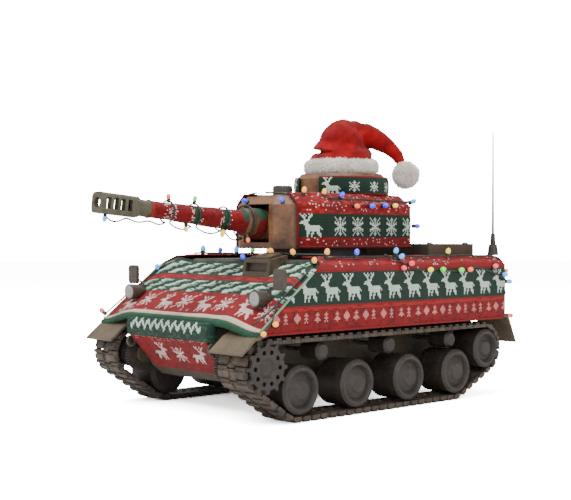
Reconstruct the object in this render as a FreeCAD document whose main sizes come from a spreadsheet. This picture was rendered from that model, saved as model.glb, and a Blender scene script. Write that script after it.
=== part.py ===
import FreeCAD, Part
import Sketcher
import math
import os
import re

# Radio-controlled light tank in a knitted winter cover, with string lights and a soft hat.
# Frame: +X towards the muzzle, +Y the tank's left side, +Z up. The origin is the middle of
# the whole model's footprint, on the ground. Lengths are millimetres, angles are degrees.

SIZES = {
    # whole model
    "whole_length": 407.3,
    "knit": 2.5,
    "wall": 3,
    # upper hull
    "hull_half": 105,
    "skirt": 76,
    "deck": 129.5,
    "nose": 122,
    "nose_top": 76.5,
    "glacis_top": 46,
    "stern": 188.5,
    "shoulder_drop": 5.5,
    "shoulder_width": 9,
    # lower hull
    "tub_half": 55,
    "belly": 28,
    "tub_nose": 134,
    "nose_lip": 67,
    "knee": 109,
    "knee_height": 36,
    "floor_front": 99,
    "tub_stern": 186,
    "stern_knee": 44,
    "boss_radius": 8,
    # running gear
    "wheel_radius": 20,
    "wheel_gap": 65,
    "first_wheel": 78.4,
    "wheel_inner": 72,
    "wheel_outer": 105,
    "bore_radius": 3.05,
    "axle_radius": 3,
    "link_pitch": 10,
    "link_depth": 6.3,
    "link_inner": 71,
    "link_outer": 103.5,
    "track_play": 0.3,
    "sprocket_place": 116.6,
    "sprocket_height": 47,
    "sprocket_teeth": 12,
    "idler_place": 159.8,
    "idler_radius": 18,
    "roller_radius": 7.5,
    "front_roller": 49,
    "roller_gap": 82,
    # gears
    "drive_gear_teeth": 45,
    "pinion_teeth": 15,
    "drive_gear_module": 0.7,
    "ring_gear_teeth": 75,
    "ring_gear_module": 0.9,
    "gear_face": 5,
    # deck
    "engine_deck_half": 75,
    "engine_deck_rear": 178,
    "engine_deck_front": 88,
    "engine_deck_top": 143,
    # turret
    "turret_axis": 40,
    "turret_sweep": 104,
    "ring_hole": 38.4,
    "ring_neck": 38,
    "turret_floor": 139,
    "turret_shoulder": 178,
    "turret_roof": 186,
    "turret_front": 36,
    "turret_front_half": 22.5,
    "turret_half": 51.5,
    "turret_rear": 122.5,
    "turret_rear_half": 47.5,
    "cupola_place": 72,
    "cupola_radius": 42.5,
    "cupola_top": 209,
    "vent_place": 4,
    # gun, measured along its own axis from the trunnion
    "trunnion": 20,
    "trunnion_height": 160,
    "gun_rise": 5.2,
    "mantlet_radius": 14,
    "mantlet_half": 16.8,
    "notch_half": 17.2,
    "boot_front": 36,
    "boot_radius": 12.5,
    "sleeve_start": 36.2,
    "collar_start": 134.2,
    "brake_length": 36,
    "brake_half": 8.5,
    "barrel_radius": 5.8,
    "gun_bore": 4.3,
    # deck fittings
    "hood_place": 61,
    "hood_side": 40,
    "lamp_place": 108,
    "mirror_setback": 11,
    "lamp_side": 86,
    "lamp_height": 100,
    "antenna_place": 185.5,
    "antenna_side": 93,
    "antenna_top": 250,
    # hat
    "brim_radius": 35,
    "brim_height": 13,
    "pompom_radius": 13,
}

ARC_SHARE = 0.45          # part of the shorter run that each bend of a wire takes up
WIRE_RADIUS = 0.8
BULB_RADIUS = 3.0
PRESSURE_ANGLE = math.radians(20)
GEAR_PLAY = 0.06          # share of a gear's pitch left free between meshing teeth
SIDES = (("left", 1), ("right", -1))

document = FreeCAD.newDocument("knitted_tank")
sheet = document.addObject("Spreadsheet::Sheet", "sizes")
for row, (alias, size) in enumerate(SIZES.items(), start=1):
    sheet.set(f"A{row}", alias.replace("_", " "))
    sheet.set(f"B{row}", str(size))
    sheet.setAlias(f"B{row}", alias)
document.recompute()
sub_parts = []


# ---------------------------------------------------------------- sheet formulas

def linked(formula):
    """The formula with each alias written as a reference to the sheet."""
    def reference(word):
        return f"sizes.{word.group()}" if word.group() in SIZES else word.group()
    return re.sub(r"[a-z]+(?:_[a-z]+)*", reference, str(formula))


def number(formula):
    """The value of a formula of sheet aliases."""
    return float(sheet.evalExpression(linked(formula)))


def vector(x, y, z):
    return FreeCAD.Vector(number(x), number(y), number(z))


def bind(item, name, formula):
    item.setExpression(name, linked(formula))


def place(item, x="0", y="0", z="0", turn=0, about=(0, 0, 1)):
    """Puts an object at sheet-driven coordinates, turned about one axis."""
    rotation = FreeCAD.Rotation(FreeCAD.Vector(*about), turn)
    item.Placement = FreeCAD.Placement(vector(x, y, z), rotation)
    for axis, formula in zip("xyz", (x, y, z)):
        bind(item, f"Placement.Base.{axis}", formula)


# ---------------------------------------------------------------- bodies and sketches

def new_body(label, x="0", y="0", z="0", turn=0, about=(0, 0, 1), kept=True):
    body = document.addObject("PartDesign::Body", label)
    body.Label = label
    place(body, x, y, z, turn, about)
    if kept:
        sub_parts.append(body)
    return body


def new_sketch(body, plane, lift=None):
    """An empty sketch on one of the body's origin planes, lifted along its normal."""
    sketch = body.newObject("Sketcher::SketchObject", f"{body.Name}_sketch")
    support = next(item for item in body.Origin.OriginFeatures if item.Role == plane)
    sketch.AttachmentSupport = (support, [""])
    sketch.MapMode = "FlatFace"
    if lift is not None:
        sketch.AttachmentOffset = FreeCAD.Placement(vector("0", "0", lift), FreeCAD.Rotation())
        bind(sketch, "AttachmentOffset.Base.z", lift)
    return sketch


def pin_point(sketch, line, end, x, y):
    """Ties one end of a line to sheet-driven coordinates."""
    for kind, formula in (("DistanceX", x), ("DistanceY", y)):
        rule = sketch.addConstraint(Sketcher.Constraint(kind, -1, 1, line, end, number(formula)))
        bind(sketch, f"Constraints[{rule}]", formula)


def outline(body, plane, corners, lift=None):
    """A closed outline of straight edges; each corner is a pair of formulas."""
    sketch = new_sketch(body, plane, lift)
    spots = [vector(x, y, "0") for x, y in corners]
    following = spots[1:] + spots[:1]
    for start, end in zip(spots, following):
        sketch.addGeometry(Part.LineSegment(start, end), False)
    for line in range(len(spots)):
        after = (line + 1) % len(spots)
        sketch.addConstraint(Sketcher.Constraint("Coincident", line, 2, after, 1))
    for line, (x, y) in enumerate(corners):
        pin_point(sketch, line, 1, x, y)
    return sketch


def circles(body, plane, rounds, lift=None):
    """Circles given as (x, y, radius) formulas."""
    sketch = new_sketch(body, plane, lift)
    for index, (x, y, radius) in enumerate(rounds):
        ring = Part.Circle(vector(x, y, "0"), FreeCAD.Vector(0, 0, 1), number(radius))
        sketch.addGeometry(ring, False)
        pin_point(sketch, index, 3, x, y)
        rule = sketch.addConstraint(Sketcher.Constraint("Radius", index, number(radius)))
        bind(sketch, f"Constraints[{rule}]", radius)
    return sketch


def rectangle(body, plane, low_x, high_x, low_y, high_y, lift=None):
    corners = [(low_x, low_y), (high_x, low_y), (high_x, high_y), (low_x, high_y)]
    return outline(body, plane, corners, lift)


def extrude(body, kind, sketch, length, symmetric=False, reverse=False):
    feature = body.newObject(f"PartDesign::{kind}", f"{body.Name}_{kind.lower()}")
    feature.Profile = sketch
    feature.Length = number(length)
    bind(feature, "Length", length)
    feature.SideType = "Symmetric" if symmetric else "One side"
    feature.Reversed = reverse
    body.Tip = feature
    return feature


def pad(body, sketch, length, symmetric=False, reverse=False):
    return extrude(body, "Pad", sketch, length, symmetric, reverse)


def pocket(body, sketch, length, symmetric=False, reverse=False):
    """A cut that has to take material away."""
    document.recompute()
    before = body.Shape.Volume
    feature = extrude(body, "Pocket", sketch, length, symmetric, reverse)
    document.recompute()
    if body.Shape.Volume > before - 1e-6:
        raise ValueError(f"{body.Label}: a pocket cuts nothing")
    return feature


def spin(body, sketch, axis, kind="Revolution"):
    feature = body.newObject(f"PartDesign::{kind}", f"{body.Name}_{kind.lower()}")
    feature.Profile = sketch
    feature.ReferenceAxis = (sketch, [axis])
    feature.Angle = 360
    body.Tip = feature
    return feature


def repeat_round(body, feature, sketch, count):
    """Copies a feature evenly round the normal of its sketch."""
    pattern = body.newObject("PartDesign::PolarPattern", f"{body.Name}_pattern")
    pattern.Originals = [feature]
    pattern.Axis = (sketch, ["N_Axis"])
    pattern.Angle = 360
    pattern.Occurrences = int(number(count))
    body.Tip = pattern
    return pattern


def mirror(body, feature, plane):
    twin = body.newObject("PartDesign::Mirrored", f"{body.Name}_mirror")
    twin.Originals = [feature]
    support = next(item for item in body.Origin.OriginFeatures if item.Role == plane)
    twin.MirrorPlane = (support, [""])
    body.Tip = twin
    return twin


def dress(body, kind, pick, size):
    """Fillets or chamfers the edges that pick(edge) accepts."""
    document.recompute()
    base = body.Tip
    names = [f"Edge{n}" for n, edge in enumerate(base.Shape.Edges, start=1) if pick(edge)]
    feature = body.newObject(f"PartDesign::{kind}", f"{body.Name}_{kind.lower()}")
    feature.Base = (base, names)
    name = "Radius" if kind == "Fillet" else "Size"
    setattr(feature, name, number(size))
    bind(feature, name, size)
    body.Tip = feature
    return feature


# ---------------------------------------------------------------- primitives and groups

def cylinder(label, radius, length, x, y, z, turn=0, about=(1, 0, 0)):
    item = document.addObject("Part::Cylinder", label)
    bind(item, "Radius", radius)
    bind(item, "Height", length)
    place(item, x, y, z, turn, about)
    return item


def box(label, length, width, height, x, y, z, turn=0, about=(0, 1, 0)):
    item = document.addObject("Part::Box", label)
    bind(item, "Length", length)
    bind(item, "Width", width)
    bind(item, "Height", height)
    place(item, x, y, z, turn, about)
    return item


def cut(label, base, tool, kept=True):
    item = document.addObject("Part::Cut", label)
    item.Label = label
    item.Base = base
    item.Tool = tool
    if kept:
        sub_parts.append(item)
    return item


def group(label, items, kept=True):
    """Separate solids that share one sub-part."""
    item = document.addObject("Part::Compound", label)
    item.Label = label
    item.Links = items
    if kept:
        sub_parts.append(item)
    return item


def keep(item, label):
    item.Label = label
    sub_parts.append(item)
    return item


def solid(label, shape, kept=True):
    item = document.addObject("Part::Feature", label)
    item.Label = label
    item.Shape = shape
    item.Placement = shape.Placement
    if kept:
        sub_parts.append(item)
    return item


def mirrored(shape):
    """The same shape on the tank's other side."""
    return shape.mirror(FreeCAD.Vector(0, 0, 0), FreeCAD.Vector(0, 1, 0))


# ---------------------------------------------------------------- gears

def involute(angle):
    return math.tan(angle) - angle


def gear_shape(teeth, module, face_width, bore_radius, start_angle):
    """An involute spur gear about Z, resting on Z = 0; start_angle turns its first tooth."""
    pitch_radius = teeth * module / 2
    base_radius = pitch_radius * math.cos(PRESSURE_ANGLE)
    root_radius = pitch_radius - 1.25 * module
    tip_radius = pitch_radius + 0.95 * module
    half_tooth = math.pi / (2 * teeth) * (1 - 2 * GEAR_PLAY)
    lowest = max(base_radius, root_radius)
    flank = []
    for step in range(5):
        radius = lowest + (tip_radius - lowest) * step / 4
        slant = math.acos(min(1, base_radius / radius))
        flank.append((radius, half_tooth + involute(PRESSURE_ANGLE) - involute(slant)))
    if root_radius < base_radius:
        flank.insert(0, (root_radius, flank[0][1]))
    corners = []
    for tooth in range(teeth):
        middle = start_angle + 2 * math.pi * tooth / teeth
        rising = [(radius, middle - offset) for radius, offset in flank]
        falling = [(radius, middle + offset) for radius, offset in reversed(flank)]
        corners += rising + falling
    spots = [FreeCAD.Vector(r * math.cos(a), r * math.sin(a), 0) for r, a in corners]
    rim = Part.Face(Part.makePolygon(spots + spots[:1]))
    gear = rim.extrude(FreeCAD.Vector(0, 0, face_width))
    if bore_radius:
        gear = gear.cut(Part.makeCylinder(bore_radius, face_width))
    return gear


# ---------------------------------------------------------------- wires

def wire_path(points):
    """Straight runs joined by tangent arcs, and the arcs' radii."""
    edges = []
    radii = []
    start = points[0]
    for before, corner, after in zip(points, points[1:], points[2:]):
        arrive = corner - before
        leave = after - corner
        reach = ARC_SHARE * min(arrive.Length, leave.Length)
        turn = arrive.getAngle(leave)
        radius = reach / math.tan(turn / 2)
        arrive.normalize()
        leave.normalize()
        arc_start = corner - arrive * reach
        arc_end = corner + leave * reach
        inward = leave - arrive
        inward.normalize()
        middle = corner + inward * (radius / math.cos(turn / 2) - radius)
        edges.append(Part.LineSegment(start, arc_start).toShape())
        edges.append(Part.Arc(arc_start, middle, arc_end).toShape())
        radii.append(round(radius, 1))
        start = arc_end
    edges.append(Part.LineSegment(start, points[-1]).toShape())
    return Part.Wire(edges), radii


def sweep_wire(name, points):
    """A round wire along the points, printed with its length, bends and volume."""
    path, radii = wire_path(points)
    ring = Part.Wire(Part.Circle(points[0], points[1] - points[0], WIRE_RADIUS).toShape())
    tube = path.makePipeShell([ring], True, False)
    expected = math.pi * WIRE_RADIUS ** 2 * path.Length
    print(f"{name}: length {path.Length:.0f} mm, radii {radii}, "
          f"volume {tube.Volume:.1f} of {expected:.1f}")
    return path, tube


def bulb_beside(path, before, spot, after, outward, radius):
    """A ball that just clears the wire near spot, on the side that outward points to."""
    run = after - before
    run.normalize()
    away = outward - run * outward.dot(run)
    away.normalize()
    touch = path.distToShape(Part.Vertex(spot))[1][0][0]
    return Part.makeSphere(radius, touch + away * (radius + WIRE_RADIUS + 0.05))


def light_wire(name, route, outward):
    """A wire with a bulb beside every other point of its route."""
    points = [FreeCAD.Vector(*spot) for spot in route]
    path, tube = sweep_wire(name, points)
    side = FreeCAD.Vector(*outward)
    bulbs = [bulb_beside(path, points[n - 1], points[n], points[n + 1], side, BULB_RADIUS)
             for n in range(1, len(points) - 1, 2)]
    return [tube] + bulbs


# ---------------------------------------------------------------- lower hull

tub_corners = [
    ("-tub_stern", "stern_knee"),
    ("-tub_stern + 12", "belly"),
    ("floor_front", "belly"),
    ("knee", "knee_height"),
    ("tub_nose", "nose_lip"),
    ("tub_nose", "skirt"),
    ("-tub_stern", "skirt"),
]
room_corners = [
    ("-tub_stern + wall", "stern_knee + 1"),
    ("-tub_stern + 14", "belly + wall"),
    ("floor_front - 1", "belly + wall"),
    ("knee - 3", "knee_height + 1.5"),
    ("nose - 3", "nose_lip - 9"),
    ("nose - 3", "skirt + 1"),
    ("-tub_stern + wall", "skirt + 1"),
]
rear_door_half = 32
rear_door_low = 47
rear_door_high = 71
switch_side = 44
switch_height = 56

lower_hull = new_body("lower_hull")
pad(lower_hull, outline(lower_hull, "XZ_Plane", tub_corners), "2 * tub_half", symmetric=True)
boss = pad(lower_hull, circles(lower_hull, "XZ_Plane",
                               [("sprocket_place", "sprocket_height", "boss_radius")],
                               lift="tub_half - 0.5"), "3.5")
mirror(lower_hull, boss, "XZ_Plane")
pocket(lower_hull, outline(lower_hull, "XZ_Plane", room_corners),
       "2 * (tub_half - wall)", symmetric=True)
# the battery opening and the switch slot go through the stern plate
pocket(lower_hull, rectangle(lower_hull, "YZ_Plane", f"-{rear_door_half - 3}",
                             f"{rear_door_half - 3}", f"{rear_door_low + 3}",
                             f"{rear_door_high - 3}", lift="-tub_stern - 1"), "wall + 2",
       reverse=True)
pocket(lower_hull, rectangle(lower_hull, "YZ_Plane", f"{switch_side - 2.6}",
                             f"{switch_side + 2.6}", f"{switch_height - 6.5}",
                             f"{switch_height + 6.5}", lift="-tub_stern - 1"), "wall + 2",
       reverse=True)
# the block that the battery rests on
pad(lower_hull, rectangle(lower_hull, "XY_Plane", "-tub_stern + 10", "-tub_stern + 98",
                          "-16", "16", lift="belly + 1"),
    f"{rear_door_low + 3.4} - belly - 1")
# clearance for the motor shafts that turn in the side plates
shaft_place = "sprocket_place - (drive_gear_teeth + pinion_teeth) * drive_gear_module / 2"
pocket(lower_hull, circles(lower_hull, "XZ_Plane", [(shaft_place, "sprocket_height", "2.05")]),
       "2 * tub_half + 2", symmetric=True)

# ---------------------------------------------------------------- upper hull

def hull_profile(extra):
    """Side outline of the upper hull, grown by extra all round but at its foot."""
    return [
        (f"nose + {extra}", "skirt"),
        (f"nose + {extra}", f"nose_top + {extra}"),
        (f"glacis_top + {extra} / 2", f"deck + {extra}"),
        (f"-stern - {extra} + 6", f"deck + {extra}"),
        (f"-stern - {extra}", f"deck + {extra} - 6"),
        (f"-stern - {extra}", "skirt"),
    ]


def trim_shoulders(body, extra):
    """Slopes the long upper corners of a hull-shaped body."""
    for side in (1, -1):
        corners = [
            (f"{side} * (hull_half + {extra} + 1)", f"deck + {extra} - shoulder_drop"),
            (f"{side} * (hull_half + {extra})", f"deck + {extra} - shoulder_drop"),
            (f"{side} * (hull_half + {extra} - shoulder_width)", f"deck + {extra}"),
            (f"{side} * (hull_half + {extra} - shoulder_width)", f"deck + {extra} + 3"),
            (f"{side} * (hull_half + {extra} + 1)", f"deck + {extra} + 3"),
        ]
        pocket(body, outline(body, "YZ_Plane", corners), "2 * whole_length", symmetric=True)


upper_hull = new_body("upper_hull")
pad(upper_hull, outline(upper_hull, "XZ_Plane", hull_profile("0")), "2 * hull_half",
    symmetric=True)
trim_shoulders(upper_hull, "0")
lower_room = [
    ("nose - 8", "skirt - 1"),
    ("nose - 8", "nose_top - 1"),
    ("nose - 52", "deck - wall - 19"),
    ("glacis_top + 8", "deck - wall - 9"),
    ("-stern + wall", "deck - wall - 9"),
    ("-stern + wall", "skirt - 1"),
]
pocket(upper_hull, outline(upper_hull, "XZ_Plane", lower_room), "2 * (hull_half - wall)",
       symmetric=True)
pocket(upper_hull, rectangle(upper_hull, "XZ_Plane", "-stern + wall + 5", "glacis_top - 2",
                             "deck - wall - 10", "deck - wall"),
       "2 * (hull_half - wall - 8)", symmetric=True)
pocket(upper_hull, circles(upper_hull, "XY_Plane", [("-turret_axis", "0", "ring_hole")],
                           lift="deck + 1"), "wall + 3")

# knitted cover over the upper hull, and the knitted panel over the nose
cover_form = new_body("cover_form", kept=False)
pad(cover_form, outline(cover_form, "XZ_Plane", hull_profile("knit")),
    "2 * (hull_half + knit)", symmetric=True)
trim_shoulders(cover_form, "knit")
cover_room = new_body("cover_room", kept=False)
pad(cover_room, outline(cover_room, "XZ_Plane", hull_profile("0")), "2 * hull_half",
    symmetric=True)
trim_shoulders(cover_room, "0")
cover_shell = cut("cover_shell", cover_form, cover_room, kept=False)
# the cover stops short of the engine deck and the turret ring
deck_window = box("deck_window", "glacis_top + stern - 8", "2 * engine_deck_half + 2", "20",
                  "-stern + 8", "-engine_deck_half - 1", "deck - 8")
cover_open = cut("cover_open", cover_shell, deck_window, kept=False)
nose_panel = new_body("nose_panel", kept=False)
panel_corners = [
    ("floor_front + 2", "belly - 1.5"),
    ("knee + 1.5", "knee_height - 1.5"),
    ("tub_nose + 2", "nose_lip - 0.5"),
    ("tub_nose + 2", "skirt - 0.3"),
    ("tub_nose", "skirt - 0.3"),
    ("tub_nose", "nose_lip"),
    ("knee", "knee_height"),
    ("floor_front + 1", "belly + 0.8"),
]
pad(nose_panel, outline(nose_panel, "XZ_Plane", panel_corners), "2 * tub_half - 2",
    symmetric=True)
group("hull_knit_cover", [cover_open, nose_panel])

# ---------------------------------------------------------------- engine deck

deck_block = new_body("deck_block", kept=False)
pad(deck_block, rectangle(deck_block, "XY_Plane", "-engine_deck_rear", "-engine_deck_front",
                          "-engine_deck_half", "engine_deck_half", lift="deck"),
    "engine_deck_top - deck")
louvre_count = 7
louvre_spacing = 4
for louvre in range(louvre_count):
    middle = f"-engine_deck_rear + 6 + {louvre * louvre_spacing}"
    slot = rectangle(deck_block, "XY_Plane", middle, f"{middle} + 2", "-20", "20",
                     lift="engine_deck_top")
    pocket(deck_block, slot, "2")
ring_well = cylinder("ring_well", "turret_sweep", "20", "-turret_axis", "0", "deck - 1")
engine_deck = cut("engine_deck_block", deck_block, ring_well, kept=False)
screw_spots = [(x, y) for x in ("-engine_deck_rear + 5",) for y in
               ("-engine_deck_half + 6", "-24", "24", "engine_deck_half - 6")]
screw_holes = [cylinder(f"screw_hole_{n}", "1.5", "6", x, y, "engine_deck_top - 6")
               for n, (x, y) in enumerate(screw_spots, start=1)]
cut("engine_deck", engine_deck, group("screw_holes", screw_holes, kept=False))

screws = []
for index, (x, y) in enumerate(screw_spots, start=1):
    screw = new_body(f"screw_{index}", x, y, "engine_deck_top", kept=False)
    pad(screw, circles(screw, "XY_Plane", [("0", "0", "2.6")]), "1.4")
    pad(screw, circles(screw, "XY_Plane", [("0", "0", "1.5")]), "6", reverse=True)
    pocket(screw, rectangle(screw, "XY_Plane", "-1.9", "1.9", "-0.4", "0.4", lift="1.4"),
           "0.7")
    screws.append(screw)
group("deck_screws", screws)

# ---------------------------------------------------------------- mudguards

guards = []
for side_name, side in SIDES:
    front = new_body(f"front_guard_{side_name}", y=f"{side * 88}", kept=False)
    front_corners = [
        ("nose - 14", "skirt - 0.3"),
        ("nose - 14", "skirt - 2.3"),
        ("nose + 7.5", "skirt - 7"),
        ("nose + 21.5", "skirt - 18"),
        ("nose + 22.8", "skirt - 16.5"),
        ("nose + 8.5", "skirt - 5"),
        ("nose - 2", "skirt - 0.3"),
    ]
    pad(front, outline(front, "XZ_Plane", front_corners), "39", symmetric=True)
    rear = new_body(f"rear_flap_{side_name}", y=f"{side * 88}", kept=False)
    rear_corners = [
        ("-stern + 10", "skirt - 0.3"),
        ("-stern + 10", "skirt - 2.3"),
        ("-stern - 1", "skirt - 3"),
        ("-whole_length / 2 + 1.8", "48"),
        ("-whole_length / 2", "48"),
        ("-stern - 2", "skirt - 0.3"),
    ]
    pad(rear, outline(rear, "XZ_Plane", rear_corners), "39", symmetric=True)
    guards += [front, rear]
group("mudguards", guards)

# ---------------------------------------------------------------- running gear

def round_wheel(label, profile, x, z, side):
    """A wheel turned about its axle; its outer face looks away from the hull."""
    wheel = new_body(label, x, "0", z, turn=0 if side > 0 else 180)
    spin(wheel, outline(wheel, "XY_Plane", profile), "V_Axis")
    return wheel


road_profile = [
    ("bore_radius", "wheel_inner"),
    ("wheel_radius - 5", "wheel_inner"),
    ("wheel_radius", "wheel_inner + 2"),
    ("wheel_radius", "wheel_outer - 2"),
    ("wheel_radius - 2", "wheel_outer"),
    ("wheel_radius - 4.5", "wheel_outer"),
    ("wheel_radius - 6.5", "wheel_outer - 3"),
    ("9", "wheel_outer - 1"),
    ("7", "wheel_outer + 0.6"),
    ("0", "wheel_outer + 0.6"),
    ("0", "wheel_outer - 3"),
    ("bore_radius", "wheel_outer - 3"),
]
wheel_places = [f"first_wheel - {n} * wheel_gap" for n in range(4)]
wheel_height = "wheel_radius + track_play + link_depth"
for side_name, side in SIDES:
    for index, x in enumerate(wheel_places, start=1):
        round_wheel(f"road_wheel_{side_name}_{index}", road_profile, x, wheel_height, side)

sprocket_pitch_radius = "link_pitch / (2 * sin(180 / sprocket_teeth))"
belt_top = f"sprocket_height + {sprocket_pitch_radius}"
roller_height = f"{belt_top} - link_depth / 2 - track_play - roller_radius"
roller_profile = [
    ("bore_radius - 1", "wheel_inner + 6"),
    ("roller_radius", "wheel_inner + 6"),
    ("roller_radius", "wheel_outer - 8"),
    ("roller_radius - 2", "wheel_outer - 6"),
    ("0", "wheel_outer - 6"),
    ("0", "wheel_outer - 8"),
    ("bore_radius - 1", "wheel_outer - 8"),
]
roller_places = [f"front_roller - {n} * roller_gap" for n in range(3)]
for side_name, side in SIDES:
    for index, x in enumerate(roller_places, start=1):
        round_wheel(f"return_roller_{side_name}_{index}", roller_profile, x, roller_height, side)

idler_height = f"{belt_top} - link_depth / 2 - track_play - idler_radius"
idler_profile = [
    ("bore_radius", "wheel_inner"),
    ("idler_radius - 4", "wheel_inner"),
    ("idler_radius", "wheel_inner + 2"),
    ("idler_radius", "wheel_outer - 1.5"),
    ("idler_radius - 2", "wheel_outer + 0.5"),
    ("idler_radius - 4.5", "wheel_outer + 0.5"),
    ("idler_radius - 6.5", "wheel_outer - 3"),
    ("8", "wheel_outer - 2"),
    ("6", "wheel_outer"),
    ("0", "wheel_outer"),
    ("0", "wheel_outer - 4"),
    ("bore_radius", "wheel_outer - 4"),
]
for side_name, side in SIDES:
    round_wheel(f"idler_wheel_{side_name}", idler_profile, "-idler_place", idler_height, side)

# drive sprockets: two toothed rings on a drum, ten lightening holes, and the final gear
tooth_tip = 20.4
drum_profile = [
    ("bore_radius", "tub_half + 9"),
    ("8", "tub_half + 9"),
    ("8", "wheel_inner"),
    ("13", "wheel_inner"),
    ("13", "link_outer + 0.6"),
    ("17.2", "link_outer + 0.6"),
    ("17.2", "link_outer + 3.4"),
    ("8", "link_outer + 3.4"),
    ("6.5", "link_outer + 1.8"),
    ("0", "link_outer + 1.8"),
    ("0", "link_outer - 3"),
    ("bore_radius", "link_outer - 3"),
]
tooth_corners = [("16.6", "-2.4"), (str(tooth_tip), "-1.1"), (str(tooth_tip), "1.1"),
                 ("16.6", "2.4")]
half_tooth_step = math.pi / number("pinion_teeth")
for side_name, side in SIDES:
    sprocket = round_wheel(f"sprocket_disc_{side_name}", drum_profile, "sprocket_place",
                           "sprocket_height", side)
    sub_parts.remove(sprocket)
    tooth_sketch = outline(sprocket, "XZ_Plane", tooth_corners, lift="-link_outer - 3.4")
    tooth = pad(sprocket, tooth_sketch, "2.8")
    repeat_round(sprocket, tooth, tooth_sketch, "sprocket_teeth")
    hole_sketch = circles(sprocket, "XZ_Plane", [("12.7", "0", "1.9")],
                          lift="-link_outer - 3.6")
    hole = pocket(sprocket, hole_sketch, "3.4", reverse=True)
    repeat_round(sprocket, hole, hole_sketch, "10")
    document.recompute()
    drive_gear = gear_shape(int(number("drive_gear_teeth")), number("drive_gear_module"),
                            number("gear_face"), number("bore_radius"), 0)
    drive_gear.rotate(FreeCAD.Vector(), FreeCAD.Vector(1, 0, 0), -90)
    drive_gear.rotate(FreeCAD.Vector(), FreeCAD.Vector(0, 1, 0), 180)
    gear_start = "tub_half + 4"
    drive_gear.translate(vector("sprocket_place", gear_start, "sprocket_height"))
    if side < 0:
        drive_gear = mirrored(drive_gear)
    solid(f"drive_sprocket_{side_name}", sprocket.Shape.fuse(drive_gear))

    pinion = gear_shape(int(number("pinion_teeth")), number("drive_gear_module"),
                        number("gear_face"), 0, half_tooth_step)
    shaft_length = number("tub_half + 4") - 38
    shaft = Part.makeCylinder(2, shaft_length, FreeCAD.Vector(0, 0, -shaft_length))
    pinion = pinion.fuse(shaft)
    pinion.rotate(FreeCAD.Vector(), FreeCAD.Vector(1, 0, 0), -90)
    pinion.translate(vector(shaft_place, gear_start, "sprocket_height"))
    if side < 0:
        pinion = mirrored(pinion)
    solid(f"motor_pinion_{side_name}", pinion)

# fixed axles: each stands out of the side plate and carries one wheel
axles = []
for side_name, side in SIDES:
    turn = -90 * side
    stubs = [(x, wheel_height, "axle_radius", "wheel_outer - 4") for x in wheel_places]
    stubs.append(("-idler_place", idler_height, "axle_radius", "wheel_outer - 5"))
    stubs.append(("sprocket_place", "sprocket_height", "axle_radius", "link_outer - 4"))
    for index, (x, z, radius, tip) in enumerate(stubs, start=1):
        start = "tub_half" if index < len(stubs) else "tub_half + 3"
        axles.append(cylinder(f"axle_{side_name}_{index}", radius, f"{tip} - ({start})",
                              x, f"{side} * ({start})", z, turn))
    for index, x in enumerate(roller_places, start=1):
        axles.append(cylinder(f"roller_axle_{side_name}_{index}", "axle_radius - 1",
                              "wheel_outer - 9 - tub_half", x, f"{side} * tub_half",
                              roller_height, turn))
group("wheel_axles", axles)


def belt_circles():
    """Centres and radii of the circles that the track's middle line goes round."""
    half_link = number("link_depth") / 2
    last_wheel = number(wheel_places[-1])
    wheel_z = number(wheel_height)
    return [
        (number("sprocket_place"), number("sprocket_height"), number(sprocket_pitch_radius)),
        (-number("idler_place"), number(idler_height), number("idler_radius + track_play") + half_link),
        (last_wheel, wheel_z, number("wheel_radius + track_play") + half_link),
        (number("first_wheel"), wheel_z, number("wheel_radius + track_play") + half_link),
    ]


def belt_spots():
    """Evenly spaced places along the track's middle line, with their directions."""
    rounds = belt_circles()
    pieces = []
    for index, (x, z, radius) in enumerate(rounds):
        next_x, next_z, next_radius = rounds[(index + 1) % len(rounds)]
        heading = math.atan2(next_z - z, next_x - x)
        distance = math.hypot(next_x - x, next_z - z)
        normal = heading - math.pi / 2 - math.asin((next_radius - radius) / distance)
        pieces.append((x, z, radius, normal, next_x, next_z, next_radius))
    stations = []
    for index, (x, z, radius, normal, next_x, next_z, next_radius) in enumerate(pieces):
        arrival = pieces[index - 1][3]
        sweep = (normal - arrival) % (2 * math.pi)
        stations.append(("arc", x, z, radius, arrival, sweep, radius * sweep))
        start = (x + radius * math.cos(normal), z + radius * math.sin(normal))
        end = (next_x + next_radius * math.cos(normal), next_z + next_radius * math.sin(normal))
        stations.append(("run", start, end, math.dist(start, end)))
    length = sum(piece[-1] for piece in stations)
    count = round(length / number("link_pitch"))
    print(f"track: belt length {length:.1f} mm, {count} links of {length / count:.3f} mm")
    spots = []
    for link in range(count):
        travel = (link + 0.5) * length / count
        for piece in stations:
            if travel <= piece[-1]:
                break
            travel -= piece[-1]
        if piece[0] == "arc":
            _, x, z, radius, arrival, _, _ = piece
            angle = arrival + travel / radius
            spots.append((x + radius * math.cos(angle), z + radius * math.sin(angle),
                          angle + math.pi / 2))
        else:
            _, start, end, run = piece
            share = travel / run
            spots.append((start[0] + (end[0] - start[0]) * share,
                          start[1] + (end[1] - start[1]) * share,
                          math.atan2(end[1] - start[1], end[0] - start[0])))
    return spots


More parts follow.
